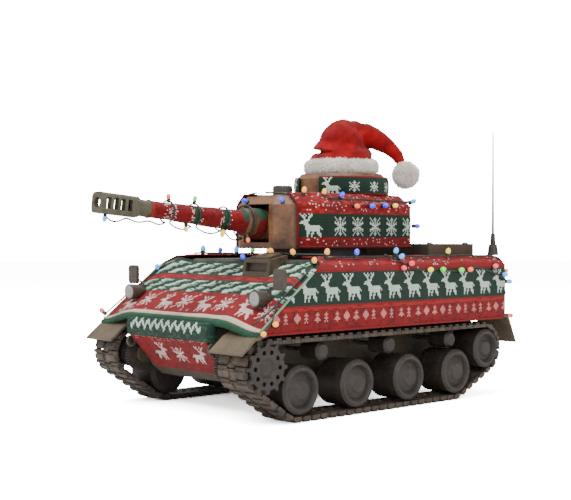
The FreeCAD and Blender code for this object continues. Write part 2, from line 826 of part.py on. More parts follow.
def link_shape(x, z, angle):
    """One track link: a block with bevelled ends that leave its neighbours room to turn."""
    half_length = number("link_pitch") / 2 - 0.15
    half_depth = number("link_depth") / 2
    bevel = 1.3
    section = [(-half_length, half_depth - bevel), (-half_length, -half_depth + bevel),
               (-half_length + bevel, -half_depth), (half_length - bevel, -half_depth),
               (half_length, -half_depth + bevel), (half_length, half_depth - bevel),
               (half_length - bevel, half_depth), (-half_length + bevel, half_depth)]
    inner = number("link_inner")
    corners = [FreeCAD.Vector(along, inner, up) for along, up in section]
    face = Part.Face(Part.makePolygon(corners + corners[:1]))
    block = face.extrude(FreeCAD.Vector(0, number("link_outer") - inner, 0))
    block.rotate(FreeCAD.Vector(), FreeCAD.Vector(0, 1, 0), -math.degrees(angle))
    block.translate(FreeCAD.Vector(x, 0, z))
    # a tilted link near the ground is lifted until its lowest corner just touches it
    block.translate(FreeCAD.Vector(0, 0, max(0, -block.BoundBox.ZMin)))
    return block


links = [link_shape(*spot) for spot in belt_spots()]
solid("track_left", Part.makeCompound(links))
solid("track_right", Part.makeCompound([mirrored(link) for link in links]))

# ---------------------------------------------------------------- deck fittings

lamps = []
lenses = []
for side_name, side in SIDES:
    lamp = new_body(f"lamp_{side_name}", "lamp_place", f"{side} * lamp_side", "lamp_height",
                    kept=False)
    lamp_profile = [
        ("-14", "0"),
        ("-11", "3.5"),
        ("-5", "6.2"),
        ("3", "7"),
        ("5", "7"),
        ("5", "5.8"),
        ("3", "5.8"),
        ("3", "0"),
    ]
    spin(lamp, outline(lamp, "XY_Plane", lamp_profile), "H_Axis")
    # the foot, and the socket behind the lamp that the mirror turns in
    pad(lamp, rectangle(lamp, "XY_Plane", "-6", "-1", "-2.5", "2.5", lift="-9.4"), "7.1")
    pad(lamp, circles(lamp, "XY_Plane", [("-mirror_setback", "0", "2.2")]), "6")
    pocket(lamp, circles(lamp, "XY_Plane", [("-mirror_setback", "0", "0.85")], lift="6"), "3.2")
    lamps.append(lamp)
    lens = new_body(f"lens_{side_name}", "lamp_place", f"{side} * lamp_side", "lamp_height",
                    kept=False)
    lens_profile = [("3", "0"), ("3", "5.8"), ("5", "5.8"), ("5.9", "4"), ("6.4", "0")]
    spin(lens, outline(lens, "XY_Plane", lens_profile), "H_Axis")
    lenses.append(lens)
group("headlights", lamps)
group("headlight_lenses", lenses)

# driver's hood: a low box with a sloping window, standing on the front slope
driver_hood = new_body("driver_hood", "hood_place", "hood_side", "0")
slope = "(deck - nose_top) / (nose + knit / 2 - glacis_top)"


def over_slope(x):
    """Just above the knitted front slope, at x from the hood's middle."""
    return f"deck + knit + 0.3 - {slope} * (hood_place + {x} - glacis_top - knit / 2)"


hood_corners = [
    ("-11", over_slope(-11)),
    ("11", over_slope(11)),
    ("8.5", "deck + 0.5"),
    ("-11", "deck + 4.2"),
]
pad(driver_hood, outline(driver_hood, "XZ_Plane", hood_corners), "34", symmetric=True)
window_corners = [("5.5", "deck - 9.5"), ("16", "deck - 9.5"), ("16", "deck - 2"),
                  ("5.5", "deck - 2")]
pocket(driver_hood, outline(driver_hood, "XZ_Plane", window_corners), "27", symmetric=True)

driver_hatch = new_body("driver_hatch", "hood_place", "hood_side", "0")
hatch_corners = [
    ("-9", "deck + 4.15"),
    ("6", "deck + 1.2"),
    ("6", "deck + 2.8"),
    ("-7.5", "deck + 5.5"),
    ("-9", "deck + 5.5"),
]
pad(driver_hatch, outline(driver_hatch, "XZ_Plane", hatch_corners), "24", symmetric=True)
# the round barrel that the hatch turns on
pad(driver_hatch, circles(driver_hatch, "XZ_Plane", [("-9", "deck + 5.5", "1")]), "20",
    symmetric=True)

for side_name, side in SIDES:
    arm_base = vector("lamp_place - mirror_setback", f"{side} * lamp_side", "lamp_height + 3.2")
    arm_rises = [(0, 0, 0), (0, 0, 4.6), (0.3, 5.5, 6), (0.6, 11, 5.8), (0.6, 14, 8.5), (0.6, 14, 12)]
    arm_points = [arm_base + FreeCAD.Vector(ahead, side * outward, up)
                  for ahead, outward, up in arm_rises]
    arm_path = wire_path(arm_points)[0]
    arm_ring = Part.Wire(Part.Circle(arm_base, FreeCAD.Vector(0, 0, 1), 0.8).toShape())
    arm = arm_path.makePipeShell([arm_ring], True, False)
    plate_centre = arm_points[-1] + FreeCAD.Vector(0.4, 0, 0)
    plate = Part.makeBox(3, 13, 17, plate_centre - FreeCAD.Vector(1.5, 6.5, 8.5))
    upright = [edge for edge in plate.Edges if abs(edge.tangentAt(0).x) > 0.9]
    plate = plate.makeFillet(3, upright)
    solid(f"mirror_{side_name}", arm.fuse(plate))

hooks = []
for index, (x, side) in enumerate((("tub_nose - 3", 1), ("tub_nose - 3", -1),
                                   ("-tub_stern - 2", 1), ("-tub_stern - 2", -1)), start=1):
    hook = document.addObject("Part::Torus", f"hook_{index}")
    bind(hook, "Radius1", "4")
    bind(hook, "Radius2", "1.3")
    hook_height = "nose_lip - 8" if index < 3 else "belly + 22"
    place(hook, x, f"{side} * (tub_half + 1.35)", hook_height, 90, (1, 0, 0))
    hooks.append(hook)
group("tow_hooks", hooks)

antenna_profile = [
    ("0", "0"),
    ("5.4", "0"),
    ("4", "10"),
    ("2.6", "10.5"),
    ("2.2", "20"),
    ("1.2", "21"),
    ("0.6", "antenna_top - deck - knit"),
    ("0", "antenna_top - deck - knit"),
]
antenna = new_body("antenna", "-antenna_place", "antenna_side", "deck + knit")
spin(antenna, outline(antenna, "XZ_Plane", antenna_profile), "V_Axis")

# ---------------------------------------------------------------- inside the hull

battery_pack = new_body("battery_pack", "-tub_stern + 8", "0", str(rear_door_low + 3.6))
pad(battery_pack, rectangle(battery_pack, "XY_Plane", "0", "96", "-24", "24"), "17")
dress(battery_pack, "Fillet", lambda edge: abs(edge.tangentAt(0).x) > 0.9, "5")

control_board = new_body("control_board", "-60", "0", "belly + wall")
pad(control_board, rectangle(control_board, "XY_Plane", "-22", "22", "-32", "32", lift="4"),
    "1.6")
pad(control_board, circles(control_board, "XY_Plane",
                           [("-19", "-29", "2"), ("-19", "29", "2"),
                            ("19", "-29", "2"), ("19", "29", "2")]), "4.4")
pad(control_board, rectangle(control_board, "XY_Plane", "-14", "4", "-18", "10", lift="5.2"),
    "3.4")
pad(control_board, rectangle(control_board, "XY_Plane", "10", "18", "-26", "26", lift="5.2"),
    "7")

motors = []
for side_name, side in SIDES:
    motors.append(cylinder(f"drive_motor_{side_name}", "11", "30", shaft_place,
                           f"{side} * 38", "sprocket_height", 90 * side))
pinion_place = "-turret_axis + (ring_gear_teeth + pinion_teeth) * ring_gear_module / 2"
gear_level = "deck - 13"
motors.append(cylinder("traverse_motor", "11", "30", pinion_place, "0",
                       f"{gear_level} - 32", 0))
for side_name, side in SIDES:
    motors.append(box(f"motor_rest_{side_name}", "10", "24", "4.9", f"{shaft_place} - 12",
                      "11" if side > 0 else "-35", "belly + wall"))
motors.append(box("traverse_motor_rest", "16", "16",
                  f"{gear_level} - 32 - belly - wall", f"{pinion_place} - 8", "-8",
                  "belly + wall"))
group("gear_motors", motors)

traverse_pinion = gear_shape(int(number("pinion_teeth")), number("ring_gear_module"),
                             number("gear_face"), 0, 0)
traverse_pinion = traverse_pinion.fuse(Part.makeCylinder(2, 2, FreeCAD.Vector(0, 0, -2)))
traverse_pinion.translate(vector(pinion_place, "0", gear_level))
solid("traverse_pinion", traverse_pinion)

battery_door = new_body("battery_door", "-tub_stern", "0", "0")
pad(battery_door, rectangle(battery_door, "YZ_Plane", f"-{rear_door_half}",
                            f"{rear_door_half}", str(rear_door_low), str(rear_door_high),
                            lift="-2.2"), "2")
for side in (1, -1):
    ear = rectangle(battery_door, "YZ_Plane", f"{side * 20} - 4", f"{side * 20} + 4",
                    f"{rear_door_high - 4}", f"{rear_door_high - 2}", lift="-4.2")
    pad(battery_door, ear, "2.4")
# the round barrel along the door's lower edge
pad(battery_door, circles(battery_door, "XZ_Plane", [("-1.2", "47", "1")]), "30", symmetric=True)

power_switch = new_body("power_switch", "-tub_stern", str(switch_side), str(switch_height))
pad(power_switch, rectangle(power_switch, "YZ_Plane", "-2.4", "2.4", "-4.3", "0.3",
                            lift="-2.4"), "6")

# ---------------------------------------------------------------- turret

def turret_plan(extra):
    """The turret's plan outline, grown by extra."""
    half = [
        (f"turret_front + {extra}", f"turret_front_half + {extra} / 2"),
        (f"turret_front - 10 + {extra}", f"turret_half - 15 + {extra}"),
        (f"2 + {extra} / 2", f"turret_half + {extra}"),
        (f"-turret_rear + 9 - {extra} / 2", f"turret_rear_half + {extra}"),
        (f"-turret_rear - {extra}", f"turret_rear_half - 10 + {extra} / 2"),
    ]
    return half + [(x, f"-({y})") for x, y in reversed(half)]


notch_low = "trunnion_height - mantlet_radius - 1.5"
turret_shell = new_body("turret_shell")
pad(turret_shell, outline(turret_shell, "XY_Plane", turret_plan("0"), lift="turret_floor"),
    "turret_roof - turret_floor")
dress(turret_shell, "Chamfer",
      lambda edge: edge.BoundBox.ZMin > number("turret_roof") - 0.1, "turret_roof - turret_shoulder")
room = [
    ("-2", "turret_half - 6"),
    ("-turret_rear + 8", "turret_rear_half - 9"),
    ("-turret_rear + 8", "-turret_rear_half + 9"),
    ("-2", "-turret_half + 6"),
]
pocket(turret_shell, outline(turret_shell, "XY_Plane", room, lift="turret_floor - 1"),
       "turret_shoulder - turret_floor + 4", reverse=True)
pocket(turret_shell, rectangle(turret_shell, "XZ_Plane", "4", "turret_front + 6", notch_low,
                               "turret_shoulder + 0.5"), "2 * notch_half", symmetric=True)
pocket(turret_shell, circles(turret_shell, "XZ_Plane",
                             [("trunnion", "trunnion_height", "bore_radius")]),
       "2 * notch_half + 8", symmetric=True)
document.recompute()

cover_plan = new_body("turret_cover_form", kept=False)
pad(cover_plan, outline(cover_plan, "XY_Plane", turret_plan("knit"), lift="turret_floor + 1"),
    "turret_shoulder - turret_floor")
cover_core = new_body("turret_cover_core", kept=False)
pad(cover_core, outline(cover_core, "XY_Plane", turret_plan("0"), lift="turret_floor"),
    "turret_roof - turret_floor")
turret_cover_ring = cut("turret_cover_ring", cover_plan, cover_core, kept=False)
bare_front = box("bare_front", "30", "3 * turret_half", "60", "turret_front - 14",
                 "-1.5 * turret_half", "turret_floor - 2")
cut("turret_knit_cover", turret_cover_ring, bare_front)

# the race that carries the turret in the deck, with its gear below the deck
race = Part.makeCylinder(number("ring_neck"), number("turret_floor") - number(gear_level) - 5,
                         vector("-turret_axis", "0", f"{gear_level} + 5"))
flange = Part.makeCylinder(46, number("turret_floor - deck - 0.3"),
                           vector("-turret_axis", "0", "deck + 0.3"))
ring_gear = gear_shape(int(number("ring_gear_teeth")), number("ring_gear_module"),
                       number("gear_face"), 0, 0)
ring_gear.translate(vector("-turret_axis", "0", gear_level))
race_bore = Part.makeCylinder(27, 60, vector("-turret_axis", "0", f"{gear_level} - 5"))
solid("turret_ring_gear", race.fuse([flange, ring_gear]).cut(race_bore))

vent_profile = [("0", "0"), ("14", "0"), ("13", "1.5"), ("9", "1.8"), ("9", "9"), ("8", "10"),
                ("6.5", "10"), ("6.5", "9"), ("0", "9")]
vent_cap = new_body("vent_cap", "vent_place", "0", "turret_roof")
spin(vent_cap, outline(vent_cap, "XZ_Plane", vent_profile), "V_Axis")

cupola_profile = [
    ("0", "0"),
    ("cupola_radius - 3", "0"),
    ("cupola_radius", "3"),
    ("cupola_radius", "cupola_top - turret_roof - 5"),
    ("cupola_radius - 4", "cupola_top - turret_roof"),
    ("0", "cupola_top - turret_roof"),
]
cupola = new_body("cupola", "-cupola_place", "0", "turret_roof")
spin(cupola, outline(cupola, "XZ_Plane", cupola_profile), "V_Axis")

cupola_band_profile = [
    ("cupola_radius + 0.1", "3"),
    ("cupola_radius + 2", "3"),
    ("cupola_radius + 2", "cupola_top - turret_roof - 4"),
    ("cupola_radius + 0.1", "cupola_top - turret_roof - 5"),
]
cupola_band = new_body("cupola_band", "-cupola_place", "0", "turret_roof", kept=False)
spin(cupola_band, outline(cupola_band, "XZ_Plane", cupola_band_profile), "V_Axis")
band_window = box("band_window", "30", "56", "40", "-cupola_place + cupola_radius - 14", "-28",
                  "turret_roof - 2")
cut("cupola_knit_cover", cupola_band, band_window)

elevation_servo = new_body("elevation_servo", "-26.2", "-10", "turret_shoulder - 16")
pad(elevation_servo, rectangle(elevation_servo, "XY_Plane", "0", "20", "0", "20", lift="0"),
    "19")
pad(elevation_servo, rectangle(elevation_servo, "XY_Plane", "-4", "24", "4", "16",
                               lift="14"), "2")

# ---------------------------------------------------------------- gun

rise = number("gun_rise")
muzzle = ("(whole_length / 2 - trunnion - brake_half * sin(gun_rise * 1 deg))"
          " / cos(gun_rise * 1 deg)")
GUN_PLACE = ("trunnion", "0", "trunnion_height")


def gun_body(label, kept=True):
    """A body along the gun's own axis: its X runs from the trunnion to the muzzle."""
    return new_body(label, *GUN_PLACE, turn=rise, about=(0, -1, 0), kept=kept)


mantlet = gun_body("mantlet")
pad(mantlet, circles(mantlet, "XZ_Plane", [("0", "0", "mantlet_radius")]),
    "2 * mantlet_half", symmetric=True)
pad(mantlet, circles(mantlet, "XZ_Plane", [("0", "0", "axle_radius")]),
    "2 * notch_half + 7", symmetric=True)
boot_profile = [
    ("2", "0"),
    ("2", "boot_radius + 0.8"),
    ("16", "boot_radius + 0.8"),
    ("boot_front - 5", "boot_radius"),
    ("boot_front", "boot_radius - 3"),
    ("boot_front", "0"),
]
spin(mantlet, outline(mantlet, "XY_Plane", boot_profile), "H_Axis")
pocket(mantlet, circles(mantlet, "YZ_Plane", [("0", "0", "barrel_radius")], lift="20"), "40",
       reverse=True)

gun_barrel = gun_body("gun_barrel")
barrel_profile = [
    ("20", "0"),
    ("20", "barrel_radius"),
    ("collar_start", "barrel_radius"),
    ("collar_start", "7"),
    (f"{muzzle} - brake_length", "7"),
    (f"{muzzle} - brake_length", "barrel_radius"),
    (f"{muzzle} - brake_length + 5", "barrel_radius"),
    (f"{muzzle} - brake_length + 5", "gun_bore"),
    ("60", "gun_bore"),
    ("60", "0"),
]
spin(gun_barrel, outline(gun_barrel, "XY_Plane", barrel_profile), "H_Axis")

muzzle_brake = gun_body("muzzle_brake")
pad(muzzle_brake, rectangle(muzzle_brake, "YZ_Plane", "-brake_half + 0.5", "brake_half - 0.5",
                            "-brake_half", "brake_half",
                            lift=f"{muzzle} - brake_length"), "brake_length")
dress(muzzle_brake, "Fillet",
      lambda edge: edge.Curve.TypeId == "Part::GeomLine" and abs(edge.tangentAt(0).x) > 0.9,
      "4.5")
pocket(muzzle_brake, circles(muzzle_brake, "YZ_Plane", [("0", "0", "gun_bore")],
                             lift=f"{muzzle} - brake_length - 1"), "brake_length + 2",
       reverse=True)
pocket(muzzle_brake, circles(muzzle_brake, "YZ_Plane", [("0", "0", "barrel_radius")],
                             lift=f"{muzzle} - brake_length - 1"), "6", reverse=True)
for vent in range(4):
    start = f"{muzzle} - brake_length + 7.2 + {vent} * 6.8"
    pocket(muzzle_brake, rectangle(muzzle_brake, "XZ_Plane", start, f"{start} + 4.2",
                                   "-4.6", "4.6"), "3 * brake_half", symmetric=True)

barrel_knit_sleeve = gun_body("barrel_knit_sleeve")
sleeve_profile = [
    ("sleeve_start", "barrel_radius"),
    ("sleeve_start", "9"),
    ("60", "8.6"),
    ("collar_start - 4", "7.4"),
    ("collar_start", "6.6"),
    ("collar_start", "barrel_radius"),
]
spin(barrel_knit_sleeve, outline(barrel_knit_sleeve, "XY_Plane", sleeve_profile), "H_Axis")

# ---------------------------------------------------------------- hat

brim_level = "cupola_top"
hat_brim = new_body("hat_brim", "-cupola_place", "0", brim_level)
brim_profile = [
    ("18", "0.2"),
    ("brim_radius - 4", "0.2"),
    ("brim_radius", "4"),
    ("brim_radius", "brim_height - 4"),
    ("brim_radius - 4", "brim_height"),
    ("18", "brim_height"),
]
spin(hat_brim, outline(hat_brim, "XZ_Plane", brim_profile), "V_Axis")


# the bag narrows as it rises, then folds over to the rear left: (x, y, z, radius)
bag_middle = [
    (0, 0, 13, 30),
    (2, 0, 25, 23),
    (0, 0, 34, 15),
    (-18, 8, 37, 11.5),
    (-38, 22, 31, 9),
    (-46, 31, 17, 5.5),
]
bag_pieces = []
for (low_x, low_y, low_z, low_radius), (high_x, high_y, high_z, high_radius) in zip(
        bag_middle, bag_middle[1:]):
    start = vector(f"{low_x} - cupola_place", low_y, f"{brim_level} + {low_z}")
    end = vector(f"{high_x} - cupola_place", high_y, f"{brim_level} + {high_z}")
    run = end - start
    bag_pieces.append(Part.makeCone(low_radius, high_radius, run.Length, start, run))
    bag_pieces.append(Part.makeSphere(high_radius, end))
brim_space = Part.makeCylinder(number("brim_radius") + 1, number("brim_height"),
                               vector("-cupola_place", "0", brim_level))
bag = bag_pieces[0].fuse(bag_pieces[1:]).cut(brim_space)
solid("hat_cone", bag)

hat_pompom = keep(document.addObject("Part::Sphere", "hat_pompom"), "hat_pompom")
bind(hat_pompom, "Radius", "pompom_radius")
place(hat_pompom, "-cupola_place - 50", "38", "cupola_top - 0.5")

# ---------------------------------------------------------------- string lights

shoulder_route = [
    (128, 101, 80.5), (117, 103, 87), (103, 103.5, 97), (88, 102, 107.2), (72, 101, 118.4),
    (56, 100, 128), (38, 98.5, 134.3), (18, 100, 133.6), (-3, 98.5, 134.2),
    (-24, 100, 133.5), (-46, 98.5, 134.3), (-68, 100, 133.4), (-90, 98.5, 134.2),
    (-112, 100, 133.5), (-132, 98.5, 134.2), (-152, 100, 133.2), (-168, 102, 132),
    (-182, 103.4, 129.8), (-191.5, 102, 122), (-194.6, 99, 112), (-194, 98, 102), (-194.8, 96, 92),
]
cross_route = [
    (34, 92, 134.2), (42, 76, 134.4), (48, 58, 134.6), (43.5, 40, 135.4), (47, 22, 134.4),
    (43, 4, 134.8), (47, -14, 134.4), (43.5, -32, 134.8), (47, -50, 134.4), (43, -68, 134.8),
    (35, -90, 134.2),
]
left_string = light_wire("hull string, one side", shoulder_route, (-0.3, 0.3, 0.9))
cross_string = light_wire("hull string, front of turret", cross_route, (-1, 0, 0))
right_string = [mirrored(piece) for piece in left_string]
solid("hull_light_string", Part.makeCompound(left_string + right_string + cross_string))

roof_route = [
    (30, 6, 189), (27, 20, 188.5), (19, 33, 186.5), (6, 44, 184.5), (-10, 51, 183.6),
    (-27, 54.5, 182.4), (-45, 53.6, 183.4), (-62, 55, 182), (-79, 53.4, 183.2),
    (-96, 53.5, 182), (-112, 50.5, 183), (-125, 42, 184), (-131, 28, 182),
    (-130, 12, 184),
]
roof_string = light_wire("turret string, one side", roof_route, (0, 0.3, 1))
far_string = [mirrored(piece) for piece in roof_string]
solid("turret_light_string", Part.makeCompound(roof_string + far_string))

# the barrel's string is wound round the sleeve and narrows with it
turns = 5
points_per_turn = 10
gun_bulb_radius = 2.2
gun_points = []
for step in range(turns * points_per_turn + 1):
    share = step / (turns * points_per_turn)
    around = 2 * math.pi * step / points_per_turn
    reach = 11.4 - 1.6 * share
    gun_points.append(FreeCAD.Vector(42 + 88 * share, reach * math.cos(around),
                                     reach * math.sin(around)))
gun_path, gun_tube = sweep_wire("gun string", gun_points)
gun_bulbs = []
for index in range(4, len(gun_points) - 1, 7):
    spot = gun_points[index]
    outward = FreeCAD.Vector(0, spot.y, spot.z)
    gun_bulbs.append(bulb_beside(gun_path, gun_points[index - 1], spot, gun_points[index + 1],
                                 outward, gun_bulb_radius))
gun_string = Part.makeCompound([gun_tube] + gun_bulbs)
gun_string.rotate(FreeCAD.Vector(), FreeCAD.Vector(0, -1, 0), rise)
gun_string.translate(vector(*GUN_PLACE))
solid("gun_light_string", gun_string)

# ---------------------------------------------------------------- check and export

document.recompute()
faults = [item.Label for item in document.Objects
          if "Invalid" in item.State or "Error" in item.State]
faults += [item.Label for item in sub_parts if item.Shape.isNull() or not item.Shape.isValid()]
if faults:
    raise RuntimeError(f"these objects failed: {faults}")
os.makedirs("parts", exist_ok=True)
for item in sub_parts:
    item.Shape.exportStep(f"parts/{item.Label}.step")
whole = Part.makeCompound([item.Shape for item in sub_parts]).BoundBox
print(f"{len(sub_parts)} sub-parts; X {whole.XMin:.2f} to {whole.XMax:.2f}, "
      f"Y {whole.YMin:.2f} to {whole.YMax:.2f}, Z {whole.ZMin:.2f} to {whole.ZMax:.2f}")
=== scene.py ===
import logging
import math
from collections.abc import Callable, Iterable, Sequence
from dataclasses import dataclass, field
from enum import Enum

import bmesh
import bpy
import numpy as np
from mathutils import Matrix, Vector, noise


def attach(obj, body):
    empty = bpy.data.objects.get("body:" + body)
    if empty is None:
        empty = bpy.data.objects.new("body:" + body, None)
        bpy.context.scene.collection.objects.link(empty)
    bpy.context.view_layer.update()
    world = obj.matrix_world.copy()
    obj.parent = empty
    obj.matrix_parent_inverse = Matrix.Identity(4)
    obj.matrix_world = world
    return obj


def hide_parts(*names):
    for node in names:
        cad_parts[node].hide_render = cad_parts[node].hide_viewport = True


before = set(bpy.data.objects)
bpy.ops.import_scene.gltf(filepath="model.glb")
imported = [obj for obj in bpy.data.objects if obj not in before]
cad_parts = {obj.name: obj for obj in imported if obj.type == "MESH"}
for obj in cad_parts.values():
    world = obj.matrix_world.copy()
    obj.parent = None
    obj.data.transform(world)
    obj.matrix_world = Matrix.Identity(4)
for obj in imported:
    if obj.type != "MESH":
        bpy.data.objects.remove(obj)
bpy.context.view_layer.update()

LOG = logging.getLogger("toy_tank")
MM = 0.001
Point = tuple[float, float, float]


# ---------------------------------------------------------------- colours and nodes


def linear(code: str) -> tuple[float, float, float, float]:
    """Turns an sRGB hex colour into linear light.

    Args:
        code: The colour as "#RRGGBB".

    Returns:
        Red, green, blue and an alpha of one.
    """
    parts = [int(code[i:i + 2], 16) / 255 for i in (1, 3, 5)]
    light = [c / 12.92 if c <= 0.04045 else ((c + 0.055) / 1.055) ** 2.4 for c in parts]
    return (*light, 1.0)


def add_node(tree: bpy.types.NodeTree, kind: str, inputs: dict | None = None, **settings) -> bpy.types.Node:
    """Adds one node with its settings and links.

    Args:
        tree: The node tree that it goes in.
        kind: Blender's name for the node's type.
        inputs: For each input's name or number, a value or the output socket that feeds it.
        **settings: The node's own properties.

    Returns:
        The new node.
    """
    node = tree.nodes.new(kind)
    for name, value in settings.items():
        setattr(node, name, value)
    for key, value in (inputs or {}).items():
        if isinstance(value, bpy.types.NodeSocket):
            tree.links.new(value, node.inputs[key])
        else:
            node.inputs[key].default_value = value
    return node


def dress(piece: bpy.types.Object, *materials: bpy.types.Material) -> None:
    """Gives a piece its materials, in the order of its slots."""
    for index, material in enumerate(materials):
        if index < len(piece.material_slots):
            piece.material_slots[index].material = material
        else:
            piece.data.materials.append(material)


# ---------------------------------------------------------------- finishes


@dataclass(frozen=True)
class Finish:
    """What every finish has: a name and a material that is made once."""

    name: str

    def surface(self) -> tuple[bpy.types.NodeTree, bpy.types.Node, bpy.types.NodeSocket]:
        """Starts an empty material.

        Returns:
            Its tree, its shader and the socket of the object coordinates.
        """
        material = bpy.data.materials.new(self.name)
        material.use_nodes = True
        tree = material.node_tree
        tree.nodes.clear()
        shader = add_node(tree, "ShaderNodeBsdfPrincipled")
        add_node(tree, "ShaderNodeOutputMaterial", {"Surface": shader.outputs[0]})
        place = add_node(tree, "ShaderNodeTexCoord").outputs["Object"]
        return tree, shader, place

    def made(self) -> bpy.types.Material:
        """Gives the material, and makes it the first time."""
        return bpy.data.materials.get(self.name) or self.make()

    def make(self) -> bpy.types.Material:
        """Makes the material. Each kind of finish does this in its own way."""
        raise NotImplementedError


@dataclass(frozen=True)
class MouldedPlastic(Finish):
    """Injection-moulded ABS with a thin coat of flat paint, which handling has worn in soft patches.

    It gives a dull surface with a faint grain and patches of a second tone.
    """

    colour: str
    worn: str
    roughness: float = 0.55
    patch: float = 26.0
    grain: float = 0.7
    bump: float = 0.12
    metallic: float = 0.0
    contrast: float = 0.5

    def make(self) -> bpy.types.Material:
        """Makes two tones mixed by broad patches, a fine mottle and a grain in the height.

        Returns:
            The material.
        """
        tree, shader, place = self.surface()
        patches = add_node(tree, "ShaderNodeTexNoise", {"Vector": place, "Scale": 1 / (self.patch * MM),
                                                        "Detail": 5.0, "Roughness": 0.6})
        share = add_node(tree, "ShaderNodeMapRange", {"Value": patches.outputs["Fac"], "From Min": 0.38,
                                                      "From Max": 0.68, "To Max": self.contrast})
        tones = add_node(tree, "ShaderNodeMix", {"Factor": share.outputs[0], 6: linear(self.colour),
                                                 7: linear(self.worn)}, data_type="RGBA")
        specks = add_node(tree, "ShaderNodeTexNoise", {"Vector": place, "Scale": 1 / (3.0 * MM),
                                                       "Detail": 3.0})
        depth = add_node(tree, "ShaderNodeMapRange", {"Value": specks.outputs["Fac"], "From Min": 0.3,
                                                      "From Max": 0.7, "To Min": 0.82, "To Max": 1.12})
        colour = add_node(tree, "ShaderNodeMix", {"Factor": 1.0, 6: tones.outputs[2], 7: depth.outputs[0]},
                          data_type="RGBA", blend_type="MULTIPLY")
        rough = add_node(tree, "ShaderNodeMapRange", {"Value": specks.outputs["Fac"],
                                                      "To Min": self.roughness - 0.1,
                                                      "To Max": self.roughness + 0.14})
        grain = add_node(tree, "ShaderNodeTexNoise", {"Vector": place, "Scale": 1 / (self.grain * MM),
                                                      "Detail": 2.0})
        height = add_node(tree, "ShaderNodeBump", {"Height": grain.outputs["Fac"], "Strength": self.bump,
                                                   "Distance": self.grain * MM / 3})
        tree.links.new(colour.outputs[2], shader.inputs["Base Color"])
        tree.links.new(rough.outputs[0], shader.inputs["Roughness"])
        tree.links.new(height.outputs[0], shader.inputs["Normal"])
        shader.inputs["Metallic"].default_value = self.metallic
        return bpy.data.materials[self.name]


@dataclass(frozen=True)
class KnittedWool(Finish):
    """Machine-knitted acrylic wool in stocking stitch, its colours carried by the stitches.

    Each stitch is a V of two legs, with loose fibres that catch the light as a soft sheen.
    """

    depth: float = 0.45
    fibre: float = 0.35

    def make(self) -> bpy.types.Material:
        """Makes the V stitches from the UV map, where one unit is one stitch, and paints shade into the
        grooves between each stitch's legs.

        Returns:
            The material.
        """
        tree, shader, place = self.surface()
        yarn = add_node(tree, "ShaderNodeAttribute", attribute_name="stitch_colour")
        chart = add_node(tree, "ShaderNodeUVMap", uv_map="stitches")
        axes = add_node(tree, "ShaderNodeSeparateXYZ", {0: chart.outputs[0]})
        across = add_node(tree, "ShaderNodeMath", {0: axes.outputs[0]}, operation="FRACT")
        middle = add_node(tree, "ShaderNodeMath", {0: across.outputs[0], 1: 0.5}, operation="SUBTRACT")
        lean = add_node(tree, "ShaderNodeMath", {0: middle.outputs[0]}, operation="ABSOLUTE")
        slanted = add_node(tree, "ShaderNodeMath", {0: axes.outputs[1], 1: lean.outputs[0]}, operation="ADD")
        along = add_node(tree, "ShaderNodeMath", {0: slanted.outputs[0]}, operation="FRACT")
        turned = add_node(tree, "ShaderNodeMath", {0: along.outputs[0], 1: math.pi}, operation="MULTIPLY")
        loop = add_node(tree, "ShaderNodeMath", {0: turned.outputs[0]}, operation="SINE")
        offset = add_node(tree, "ShaderNodeMath", {0: lean.outputs[0], 1: 4.0, 2: -1.0},
                          operation="MULTIPLY_ADD")
        square = add_node(tree, "ShaderNodeMath", {0: offset.outputs[0], 1: offset.outputs[0]},
                          operation="MULTIPLY")
        leg = add_node(tree, "ShaderNodeMath", {0: 1.0, 1: square.outputs[0]}, operation="SUBTRACT")
        stitch = add_node(tree, "ShaderNodeMath", {0: leg.outputs[0], 1: loop.outputs[0]},
                          operation="MULTIPLY")
        fuzz = add_node(tree, "ShaderNodeTexNoise", {"Vector": place, "Scale": 1 / (self.fibre * MM),
                                                     "Detail": 2.0})
        relief = add_node(tree, "ShaderNodeMath", {0: fuzz.outputs["Fac"], 1: 0.35, 2: stitch.outputs[0]},
                          operation="MULTIPLY_ADD")
        height = add_node(tree, "ShaderNodeBump", {"Height": relief.outputs[0], "Strength": 0.75,
                                                   "Distance": self.depth * MM})
        # Painted shade: the stitch relief also scales the colour, from 0.6 in the grooves between the legs,
        # where shade falls, to 1.1 on the crowns of the legs.
        shade = add_node(tree, "ShaderNodeMapRange", {"Value": stitch.outputs[0], "To Min": 0.6,
                                                      "To Max": 1.1})
        worn = add_node(tree, "ShaderNodeTexNoise", {"Vector": place, "Scale": 1 / (18 * MM), "Detail": 4.0})
        fade = add_node(tree, "ShaderNodeMapRange", {"Value": worn.outputs["Fac"], "From Min": 0.3,
                                                     "From Max": 0.7, "To Min": 0.8, "To Max": 1.15})
        # The painted stitch shade times the wool's random fade.
        tone = add_node(tree, "ShaderNodeMath", {0: shade.outputs[0], 1: fade.outputs[0]},
                        operation="MULTIPLY")
        colour = add_node(tree, "ShaderNodeMix", {"Factor": 1.0, 6: yarn.outputs["Color"],
                                                  7: tone.outputs[0]}, data_type="RGBA",
                          blend_type="MULTIPLY")
        tree.links.new(colour.outputs[2], shader.inputs["Base Color"])
        tree.links.new(height.outputs[0], shader.inputs["Normal"])
        shader.inputs["Roughness"].default_value = 0.6
        shader.inputs["Specular IOR Level"].default_value = 0.28
        shader.inputs["Sheen Weight"].default_value = 0.05
        shader.inputs["Sheen Roughness"].default_value = 0.4
        return bpy.data.materials[self.name]


